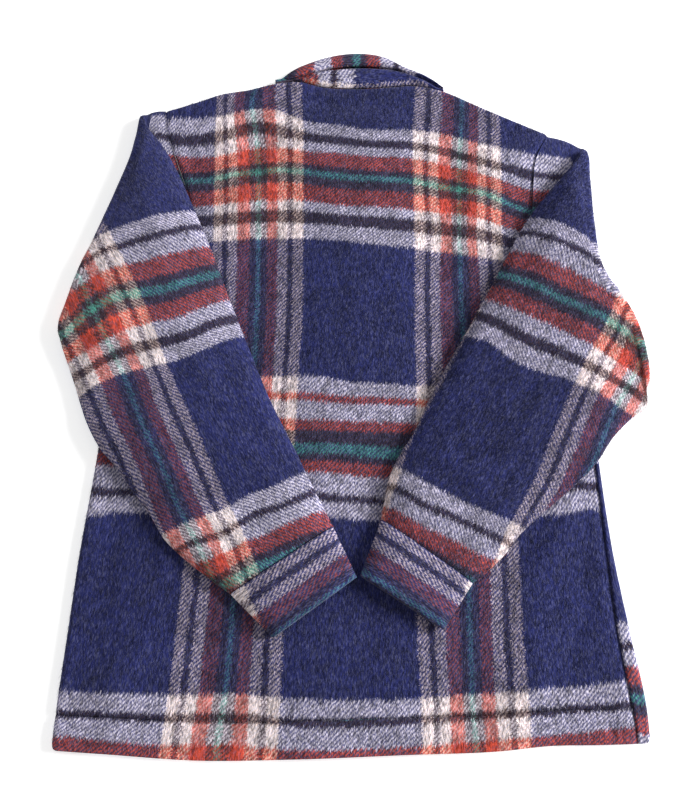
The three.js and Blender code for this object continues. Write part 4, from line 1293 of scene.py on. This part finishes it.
@dataclass
class Sleeve(ClothPiece):
    """Sleeve from its armhole, flat to the fold line, over it and down to the cuff seam.

    It is a row of sections. Each has two edges a and b on the plan, and named shares that say how
    far it has come along the way: part to the fold line, turn over it in degrees, and over.
    """

    faces: ClassVar[tuple[float, float]] = (0.0, WALL)
    ring: ClassVar[bool] = True

    name: str
    node_name: str
    side: int
    rows: Grid
    armhole: Grid
    fold_top: tuple[float, float]
    fold_end: tuple[float, float]
    dent: Grid
    across: Chart
    along: Chart
    repeats: int
    seed: int
    steps: int = 190
    upper: int = 92
    lower: int = 44
    hairs: int = 30000
    flat_size: tuple[float, float] = (0.42, 0.52)
    flat_area: float = 0.14

    def sections(self) -> dict[str, Grid]:
        """Columns of the sections' values.

        Nine sections lead to the fold line and over it, and then comes one for each row of the
        table.

        Returns:
            Columns by name: edges ax, ay, bx, by, and the shares part, turn, thick for thickness,
            dent at the fold line, over once it lies on the back, fill at the shoulder, and loft.
        """
        fold = (*self.fold_top, *self.fold_end)
        edges = np.array([fold] * 9 + [tuple(row) for row in self.rows])
        run = edges[0, 2:] - edges[0, :2]
        edges[:9, 2:] += ELBOW_REACH[:, None] * run / np.linalg.norm(run)
        count = len(self.rows)
        part = np.array([0, 0.35, 0.7] + [1.0] * (6 + count))
        turn = np.array([0, 0, 0, 0, 36, 72, 108, 144] + [180.0] * (1 + count))
        step = np.arange(1, count + 1)
        thicker = mix(BODY_THICK, SLEEVE_THICK, smooth(step / 4))
        thick = np.concatenate([np.full(9, BODY_THICK), thicker])
        dent = np.concatenate([[0, 0.35, 0.7], np.ones(6), np.maximum(0, 0.75 - 0.3 * (step - 1))])
        over = np.concatenate([np.zeros(9), np.ones(count)])
        fill = np.concatenate([[0.35, 0.8, 1.0, 1.0, 0.85, 0.5, 0.15], np.zeros(2 + count)])
        loft = np.concatenate([np.zeros(9), [0.4, 0.8], np.ones(count - 2)])
        named = dict(part=part, turn=turn, thick=thick, dent=dent, over=over, fill=fill, loft=loft)
        found = {key: value[:, None] for key, value in named.items()}
        found.update({key: edges[:, k:k + 1] for k, key in enumerate(("ax", "ay", "bx", "by"))})
        return found

    def outward(self) -> tuple[float, float]:
        """Direction across the fold line, away from the body.

        Returns:
            Its parts across and up.
        """
        dx, dy = self.fold_end[0] - self.fold_top[0], self.fold_end[1] - self.fold_top[1]
        length = math.hypot(dx, dy)
        return self.side * -dy / length, self.side * dx / length

    def rest_height(self, x: Grid, y: Grid) -> Grid:
        """Lower face of the folded sleeve: just above the back, lower again past its side.

        Args:
            x: Places across.
            y: Places up.
        Returns:
            The face's height.
        """
        edge = BODY.side(1 if self.side < 0 else 2, y)
        past = self.side * (x - edge) + 4
        sink = EDGE_DROOP * smooth(past / 50) * smooth((80 - y) / 60)
        return BODY_THICK + LIFT + BODY.back_lift(x, y) - sink

    def place(self, s: dict[str, Grid], across: Grid, depth: Grid) -> Grid:
        """Points of sections, carried from the armhole round the fold and down on the back.

        Args:
            s: Columns of the sections' values.
            across: Distance across from edge a.
            depth: Depth below the side that is seen once the sleeve is folded.
        Returns:
            The points.
        """
        share = across / chord(s)
        out_x, out_y = self.outward()
        dent = -s["dent"] * through(self.dent[:, 0], self.dent[:, 1], share)
        x = mix(s["ax"], s["bx"], share) + out_x * dent
        y = mix(s["ay"], s["by"], share) + out_y * dent
        angle = np.radians(s["turn"])
        reach = FOLD_RADIUS - depth
        shift = -FOLD_RADIUS + reach * np.sin(angle)
        bent_x, bent_y = x + out_x * shift, y + out_y * shift
        row = (1 - np.clip(share, 0, 1)) * (len(self.armhole) - 1)
        number = np.arange(len(self.armhole), dtype=float)
        hole_x = through(number, self.armhole[:, 1].astype(float), row) + self.side * ARMHOLE_GAP
        hole_y = through(number, self.armhole[:, 0].astype(float), row) + 0.5 * share
        bent_x = mix(hole_x, bent_x, s["part"])
        corner = SHOULDER_FILL * s["fill"] * (1 - smooth(share / 0.16))
        bent_y = mix(hole_y, bent_y, s["part"]) + corner
        bent_z = FOLD_RADIUS - reach * np.cos(angle)
        over_z = self.rest_height(x, y) + s["thick"] - depth
        over = s["over"] > 0
        return np.stack([
            np.where(over, x, bent_x), np.where(over, y, bent_y), np.where(over, over_z, bent_z),
        ], -1)

    def unrolled(self, s: dict[str, Grid], across: Grid) -> Grid:
        """Places on the plan where the chart is read: the cloth laid out flat past the fold.

        Args:
            s: Columns of the sections' values.
            across: Distance across from edge a, unrolled on the side that lies down.
        Returns:
            The places.
        """
        share = across / chord(s)
        out_x, out_y = self.outward()
        arc = np.radians(180 - s["turn"]) * (FOLD_RADIUS - 4) + (1 - s["part"]) * 75
        past = np.where(s["over"] > 0, 0, arc - FOLD_RADIUS)
        past = past - s["dent"] * through(self.dent[:, 0], self.dent[:, 1], share)
        x = mix(s["ax"], s["bx"], share) + out_x * past
        y = mix(s["ay"], s["by"], share) + out_y * past
        return np.stack([x, y], -1)

    def surface(self, face: float) -> tuple[Grid, Grid]:
        """One face of the sleeve: its sections joined by smooth curves, then its creases.

        Args:
            face: Distance inwards from the outer face.
        Returns:
            Points of the grid, and their cloth coordinates.
        """
        s = self.sections()
        across, depth, _ = flat_loop(chord(s), s["thick"], face, self.upper, self.lower)
        points = self.place(s, across, depth)
        outer_across = flat_loop(chord(s), s["thick"], 0, self.upper, self.lower)[2]
        plan = self.unrolled(s, outer_across)
        loft = (SLEEVE_LOFT * s["loft"] * near_side(across, chord(s)))[..., None]
        top = smooth(1 - depth / s["thick"])[..., None]
        shares = np.concatenate([s["part"], s["over"]], 1)[:, None, :]
        shares = np.broadcast_to(shares, (*depth.shape, 2))
        chords = np.linalg.norm(np.diff(points[:, self.upper // 2], axis=0), axis=1)
        keys = np.concatenate([[0], np.cumsum(np.maximum(chords, 2.0))])
        at = self.stations(keys)
        packed = np.concatenate([points, plan, top, shares, loft], -1)
        fine = np.moveaxis(through(keys, packed, at), -1, 0)
        x, y, z, flat_x, flat_y, top, part, over, loft = fine
        top, over = np.clip(top, 0, 1), np.clip(over, 0, 1)
        z = z + (relief(SLEEVE_FOLDS, x, y) + loft) * top * over
        ends = np.minimum(at - keys[0], keys[-1] - at)[:, None]
        pull = -1.0 if face == 0 else 1.0
        z = z + pull * (1 - rounded(ends, HALF_WALL * 1.6)) * (2 * top - 1)
        z = z - 0.9 * bell(keys[-1] - at[:, None], 4.0) * top
        cloth = self.own_cloth(x, y, flat_x, flat_y, part)
        lean = np.where(over > 0.5, -1.0, 1.0)
        return np.stack([x, y, z], -1), np.stack([*cloth, lean], -1)

    def own_cloth(
        self, x: Grid, y: Grid, flat_x: Grid, flat_y: Grid, part: Grid,
    ) -> tuple[Grid, Grid]:
        """Cloth coordinates, from the body's at the armhole to the sleeve's own past the fold.

        Args:
            x: Places across.
            y: Places up.
            flat_x: Places across where the sleeve's charts are read.
            flat_y: Places up where they are read.
            part: Share of the way to the fold line.
        Returns:
            Warp and weft coordinates.
        """
        own_u = self.across.read(flat_x, flat_y) + self.repeats * WARP_REPEAT
        own_v = np.maximum(self.along.read(flat_x, flat_y), -150)
        body_u, body_v = body_cloth(x, y)
        own = smooth((part - 0.72) / 0.26)
        return mix(body_u, own_u, own), mix(body_v, own_v, own)

    def stations(self, keys: Grid) -> Grid:
        """Places along the sleeve for the fine grid's rows, closer round the fold and at the ends.

        Args:
            keys: Places of the sections.
        Returns:
            The rows' places.
        """
        fold_from, fold_to = keys[3], keys[8]
        count = self.steps
        ends = np.array([0, 0.4, 1.0, 2.0, 3.5])
        under = np.linspace(6, fold_from, count // 8, endpoint=False)
        bend = np.linspace(fold_from, fold_to, count // 8, endpoint=False)
        over = np.linspace(fold_to, keys[-1] - 6, count - 2 * (count // 8) - 10)
        return np.concatenate([ends, under, bend, over, keys[-1] - ends[::-1]])

    def build(self, material: bpy.types.Material) -> None:
        """The sleeve's shell with its nap.

        Args:
            material: The plaid that it is cut from.
        """
        piece, outer, cloth = self.sew(material)
        nap = self.grow_nap(outer, cloth)
        dress(nap, material)

    def grow_nap(self, outer: Grid, cloth: Grid) -> bpy.types.Object:
        """Nap on what shows, with the grid turned so that its hairs point outwards.

        Args:
            outer: Points of the outer face.
            cloth: Their cloth coordinates.
        Returns:
            The nap.
        """
        outer, cloth = outer[:, ::-1], cloth[:, ::-1]
        seen = smooth((outer[:-1, :-1, 2] - 9) / 5) + 0.04
        nap = Nap(self.name.replace("cloth", "nap"), self.hairs, self.seed)
        return nap.grow(outer, cloth, seen)


@dataclass
class Cuff(ClothPiece):
    """Cuff, a doubled band that carries on from the sleeve's end, cut across the cloth."""

    faces: ClassVar[tuple[float, float]] = (0.0, CUFF_WALL)
    ring: ClassVar[bool] = True
    name: str
    node_name: str
    sleeve: Sleeve
    end: tuple[float, float, float, float]
    rows: int = 46
    upper: int = 84
    lower: int = 40
    # How much thinner the open end is, from which share of the length and over which share
    mouth: tuple[float, float, float] = (1.2, 0.9, 0.1)
    # Thickness of the very rims as a share, what their rounding adds, and its radius
    rims: tuple[float, float, float] = (0.72, 0.28, 3.2)
    loft_lost: float = 0.6
    fold_share: float = 0.6
    # Height of the puckers at the seam, and how far they reach
    puckers: tuple[float, float] = (0.35, 7)
    first_warp: float = -1.5
    first_weft: float = 232.0
    weft_rate: float = 0.8
    flat_size: tuple[float, float] = (0.2, 0.062)

    def surface(self, face: float) -> tuple[Grid, Grid]:
        """One face of the cuff: a flattened tube with rounded rims, puckered at its seam.

        Args:
            face: Distance inwards from the outer face.
        Returns:
            Points of the grid, and their cloth coordinates.
        """
        last = self.sleeve.rows[-1]
        run = math.hypot(self.end[0] - last[0], self.end[1] - last[1])
        first = 2 * SEAM_GAP / run
        even = np.linspace(0, 1, self.rows)
        part = mix(first, 1, mix(even, 0.5 - 0.5 * np.cos(math.pi * even), 0.8))[:, None]
        edges = mix(last[None], np.array(self.end)[None], part)
        thick = mix(SLEEVE_THICK, CUFF_THICK, smooth(4 * part))
        thinner, from_share, over_share = self.mouth
        thick = thick - thinner * smooth((part - from_share) / over_share)
        ends = np.minimum(part - first, 1 - part) * run
        least, more, radius = self.rims
        thick = thick * (least + more * rounded(ends, radius))
        s = {key: edges[:, k:k + 1] for k, key in enumerate(("ax", "ay", "bx", "by"))}
        none, full = np.zeros_like(part), np.ones_like(part)
        s.update(part=full, turn=180 * full, thick=thick, dent=none, over=full, fill=none)
        width = chord(s)
        across, depth, _ = flat_loop(width, thick, face, self.upper, self.lower)
        points = self.sleeve.place(s, across, depth)
        top = smooth(1 - depth / thick)
        loft = SLEEVE_LOFT * near_side(across, width) * (1 - self.loft_lost * smooth(part))
        folds = relief(SLEEVE_FOLDS, points[..., 0], points[..., 1]) * self.fold_share
        points[..., 2] += (CUFF_THICK - thick) / 2 + (folds + loft) * top
        rise, reach = self.puckers
        pucker = rise * waves(across, self.sleeve.seed, (8, 12.5, 19)) * bell(part * run, reach)
        points[..., 2] += pucker * top
        outer_across = flat_loop(width, thick, 0, self.upper, self.lower)[0]
        u = part * run + self.first_warp + 0 * across
        v = self.first_weft + self.weft_rate * outer_across
        return points, np.stack([u, v, -np.ones_like(u)], -1)

    def build(self, material: bpy.types.Material) -> None:
        """The cuff's shell.

        Args:
            material: The plaid that it is cut from.
        """
        piece, _, _ = self.sew(material)


def strip_edge(x: Grid) -> Grid:
    """Top edge of the collar's near strip."""
    return np.maximum(BODY.top(x) + NECK_GAP + STRIP_LEAST, through(COLLAR[:, 0], COLLAR[:, 1], x))


@dataclass
class CollarStand(ClothPiece):
    """Near strip of the collar, two plies thick, rising from the neck seam."""

    name: str = "collar_stand_cloth"
    node_name: str = "collar_stand"
    columns: int = 150
    rows: int = 26
    seam_level: float = 6.0
    bulge: float = 1.6
    # Further bulge where the strip is wide, and the width that brings all of it
    wide_bulge: tuple[float, float] = (3.6, 18)
    # Where the strip comes into view and where it goes again, each with its run
    shown_from: tuple[float, float] = (-64, 22)
    shown_to: tuple[float, float] = (114, 20)
    hidden_drop: float = 2.2
    hidden_share: float = 0.45
    rim: float = 2.6
    crease: float = 0.5
    # Cloth coordinates: the warp's start, its rate and how far it shifts where hidden
    warp: tuple[float, float, float] = (100.2, 0.6, 6)
    # The weft's middle across, its rate and its last place
    weft: tuple[float, float, float] = (12.0, 0.98, 63)
    flat_size: tuple[float, float] = (0.2, 0.015)

    def surface(self, face: float) -> tuple[Grid, Grid]:
        """One face of the strip: it rises over a quarter wave and rounds off at its rims.

        Args:
            face: 1 for the upper face and -1 for the lower one.
        Returns:
            Points of the grid, and their cloth coordinates.
        """
        x = np.linspace(STRIP_LEFT, STRIP_RIGHT, self.columns)[None, :]
        part = np.linspace(0, 1, self.rows)[:, None]
        part, x = np.broadcast_arrays(part, x)
        seam, edge = BODY.top(x) + NECK_GAP, strip_edge(x)
        more, wide = self.wide_bulge
        bulge = self.bulge + more * smooth((edge - seam) / wide)
        level = self.seam_level + bulge * np.sin(math.pi / 2 * part)
        away = np.minimum(part, 1 - part) * (edge - seam)
        away = np.minimum(away, np.minimum(x - STRIP_LEFT, STRIP_RIGHT - x))
        (left, left_run), (right, right_run) = self.shown_from, self.shown_to
        shown = smooth((x - left) / left_run) * smooth((right - x) / right_run)
        level = level - self.hidden_drop * (1 - shown)
        half = COLLAR_PLY / 2 * rounded(away, self.rim) * mix(self.hidden_share, 1.0, shown)
        crease = self.crease * waves(x, 21, (34, 51, 90)) * np.sin(math.pi * part)
        y = mix(seam, edge, part)
        points = np.stack([x, y, level + face * half + crease], -1)
        middle, rate, last = self.weft
        v = np.minimum(rate * (middle - x), last) + 0 * y
        start, rate, shift = self.warp
        u = start + rate * (y - seam) + shift * (1 - shown)
        return points, np.stack([u, v, np.ones_like(u)], -1)

    def build(self, material: bpy.types.Material) -> None:
        """The strip's shell.

        Args:
            material: The plaid that it is cut from.
        """
        piece, _, _ = self.sew(material)


@dataclass
class CollarFall:
    """Far band of the collar: a leaf in the neck opening, a rounded turn and an upper leaf."""

    columns: int = 130
    # Gap from the strip to the band, and what is added to it past each place over a run
    gap: float = 0.6
    wider: tuple[tuple[float, float, float], ...] = ((4.0, -64, 30), (2.0, 20, 60))
    least_reach: float = 4.0
    least_breadth: float = 3.0
    least_height: float = 6.4
    # Breadth past the least that brings the band to its full height
    full_breadth: float = 13.0
    turn_rest: float = 1.2
    # The upper leaf's near rim: how far in and down its corner is cut, and its nose
    lip: tuple[float, float] = (1.6, 0.4)
    nose: float = 1.0
    slit_half: float = 0.4
    least_slit: float = 0.6
    leaf_gap: float = 0.2
    leaf_taper: float = 0.05
    flat_size: tuple[float, float] = (0.22, 0.12)
    flat_area: float = 0.02

    def section(self, x: Grid) -> tuple[Grid, Grid]:
        """Corners of the section, from the leaf in the neck out, round the turn and back.

        Args:
            x: Places across.
        Returns:
            Distance up the plan and height above the floor of each corner.
        """
        out = through(COLLAR[:, 0], COLLAR[:, 2], x)
        start = strip_edge(x) + self.gap
        for more, place, run in self.wider:
            start = start + more * smooth((x - place) / run)
        out = np.maximum(out, strip_edge(x) + self.least_reach)
        start = np.minimum(start, out - self.least_breadth)
        breadth = out - start
        risen = smooth((breadth - self.least_breadth) / self.full_breadth)
        high = mix(self.least_height, COLLAR_HEIGHT, risen)
        radius = np.minimum(high / 2, breadth - self.turn_rest)
        middle = high / 2
        slit = start + np.maximum(self.least_slit, breadth - COLLAR_PLY - self.nose)
        leaf = BODY.neckline(x, NECK_HALF - LEAF_INSET, NECK_DEPTH - LEAF_INSET / 2)
        ys, zs = [leaf, mix(leaf, out - radius, 0.5)], [0 * x, 0 * x]
        for turn in np.radians(np.linspace(0, 180, 13)):
            ys.append(out - radius + radius * math.sin(turn))
            zs.append(middle - middle * math.cos(turn))
        inward, down = self.lip
        rim, flat = start - self.leaf_gap, 0 * x + COLLAR_LEAF
        ys += [start + inward, start, slit, slit, rim, mix(leaf, rim, 0.5), leaf]
        zs += [high - down, middle + self.nose, middle + self.slit_half, middle - self.slit_half,
               np.minimum(middle - self.slit_half, COLLAR_LEAF),
               flat - self.leaf_taper, flat - 2 * self.leaf_taper]
        return np.stack(ys, 1), np.stack(zs, 1)

    def build(self, material: bpy.types.Material) -> None:
        """The band as a closed skin: sections with their corners cut twice, capped at both ends.

        Args:
            material: The plaid that it is cut from.
        """
        x = np.linspace(STRIP_LEFT, STRIP_RIGHT, self.columns)
        ys, zs = self.section(x)
        ring = np.stack([np.broadcast_to(x[:, None], ys.shape), ys, zs], -1)
        for _ in range(2):
            after = np.roll(ring, -1, axis=1)
            ring = np.stack([0.75 * ring + 0.25 * after, 0.25 * ring + 0.75 * after], 2)
            ring = ring.reshape(self.columns, -1, 3)
        count = ring.shape[1]
        number = np.arange(self.columns * count).reshape(self.columns, count)
        low, high = number[:, :count // 2], number[:, ::-1][:, :count // 2]
        caps = np.stack([low[:, :-1], high[:, :-1], high[:, 1:], low[:, 1:]], -1)
        skin = between_rows(np.column_stack([number, number[:, :1]]))
        quads = np.concatenate([skin, caps[0], caps[-1, :, ::-1]])
        points = ring.reshape(-1, 3)
        u = 98.5 + 0.9 * (points[:, 1] - strip_edge(points[:, 0]))
        u = u + 8 * smooth((-24 - points[:, 0]) / 22)
        v = np.interp(points[:, 0], FALL_SETT[:, 0], FALL_SETT[:, 1])
        cloth = np.stack([u, v, np.ones_like(u)], -1)
        piece = new_piece("collar_fall_cloth", points, facing_out(points, quads), cloth)
        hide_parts("collar_fall")
        dress(piece, material)


@dataclass(frozen=True)
class Lamp:
    """A square soft lamp: its place in metres, the length of its side, and its power in watts."""

    name: str
    place: tuple[float, float, float]
    size: float
    power: float

    def build(self) -> None:
        """Hangs the lamp, turned to the garment's middle."""
        data = bpy.data.lights.new(self.name, "AREA")
        data.size, data.energy = self.size, self.power
        lamp = bpy.data.objects.new(self.name, data)
        lamp.location = self.place
        lamp.rotation_euler = (-Vector(self.place)).to_track_quat("-Z", "Y").to_euler()
        bpy.context.scene.collection.objects.link(lamp)


@dataclass
class Studio:
    """Pale floor, soft lamps and the camera at the photograph's angle.

    The camera's distance is in millimetres. Its focal length is in pixels of the picture, whose
    long side is 812 pixels.
    """

    tilt: float = 18.0
    distance: float = 849.0
    focal_pixels: float = 820.0
    long_side: float = 812.0
    sensor: float = 36.0
    floor_size: float = 8.0
    floor_height: float = -0.0006
    floor_glow: float = 0.5
    sky: float = 0.38
    lamps: tuple[Lamp, ...] = (
        Lamp("key", (3.15, 0.4, 1.42), 1.4, 203.0), Lamp("fill", (-1.3, -0.7, 2.0), 2.0, 4.0),
    )

    def build(self) -> None:
        """Sets the stage: floor, lamps, sky and camera."""
        self.floor()
        for lamp in self.lamps:
            lamp.build()
        world = bpy.data.worlds.new("studio")
        bpy.context.scene.world = world
        world.use_nodes = True
        sky = world.node_tree.nodes["Background"]
        sky.inputs["Color"].default_value = (1, 1, 1, 1)
        sky.inputs["Strength"].default_value = self.sky
        bpy.context.scene.view_settings.view_transform = "Standard"
        self.camera()

    def floor(self) -> None:
        """Matt white paper, which glows a little so that it stays pale under the soft light."""
        bpy.ops.mesh.primitive_plane_add(size=self.floor_size, location=(0, 0, self.floor_height))
        floor = bpy.context.object
        floor.name = "floor"
        paper = bpy.data.materials.new("matt_paper")
        paper.use_nodes = True
        shader = paper.node_tree.nodes["Principled BSDF"]
        shader.inputs["Base Color"].default_value = hex_to_linear("#fafafa")
        shader.inputs["Roughness"].default_value = 0.9
        shader.inputs["Emission Color"].default_value = (1, 1, 1, 1)
        shader.inputs["Emission Strength"].default_value = self.floor_glow
        floor.data.materials.append(paper)

    def camera(self) -> None:
        """Camera over the hem, tilted back from straight down."""
        tilt = math.radians(self.tilt)
        data = bpy.data.cameras.new("camera")
        data.sensor_width = self.sensor
        data.lens = self.focal_pixels * self.sensor / self.long_side
        camera = bpy.data.objects.new("camera", data)
        at = np.array([0, -self.distance * math.sin(tilt), self.distance * math.cos(tilt)])
        camera.location = Vector((at + PLAN_SHIFT) * MM)
        camera.rotation_euler = (tilt, 0, 0)
        bpy.context.scene.collection.objects.link(camera)
        bpy.context.scene.camera = camera


def dress_buttons() -> None:
    """Gives the solids of the six buttons their horn."""
    horn = HornButton().material()
    for number in range(1, 7):
        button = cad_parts[f"button_{number}"]
        button.data.materials.clear()
        button.data.materials.append(horn)
        LOG.info("%s: %s", button.name, horn.name)


def main() -> None:
    """Builds the jacket, piece by piece, and its studio."""
    logging.basicConfig(level=logging.INFO, format="%(name)s: %(message)s")
    back_plaid = BrushedPlaid(
        "brushed_plaid_back", BACK_WEFT, BACK_WEFT_FROM, BACK_WEFT_SPAN, weft_repeats=False,
    ).material()
    plaid = BrushedPlaid(
        "brushed_plaid", WEFT_GROUP, 0.0, SECOND_START, weft_repeats=True,
    ).material()
    Back().build(back_plaid)
    Front("front_left_cloth", "front_left", side=-1).build(plaid)
    Front("front_right_cloth", "front_right", side=1, warp_shift=-40.0).build(plaid)
    left = Sleeve(
        "sleeve_left_cloth", "sleeve_left", side=-1, rows=ROWS_LEFT, armhole=ARMHOLE_LEFT,
        fold_top=(-238.7, 348.9), fold_end=(-307.0, 84.0), dent=DENT_LEFT,
        across=LEFT_ACROSS, along=LEFT_ALONG, repeats=-1, seed=17,
    )
    right = Sleeve(
        "sleeve_right_cloth", "sleeve_right", side=1, rows=ROWS_RIGHT, armhole=ARMHOLE_RIGHT,
        fold_top=(284.0, 303.0), fold_end=(322.5, 27.0), dent=DENT_RIGHT,
        across=RIGHT_ACROSS, along=RIGHT_ALONG, repeats=2, seed=29,
    )
    left.build(plaid)
    right.build(plaid)
    Cuff("cuff_left_cloth", "cuff_left", left, (12.2, -176.6, -66.1, -231.9)).build(plaid)
    Cuff("cuff_right_cloth", "cuff_right", right, (15.4, -175.4, 93.3, -224.7)).build(plaid)
    CollarStand().build(plaid)
    CollarFall().build(plaid)
    dress_buttons()
    Studio().build()


if __name__ == "__main__":
    main()
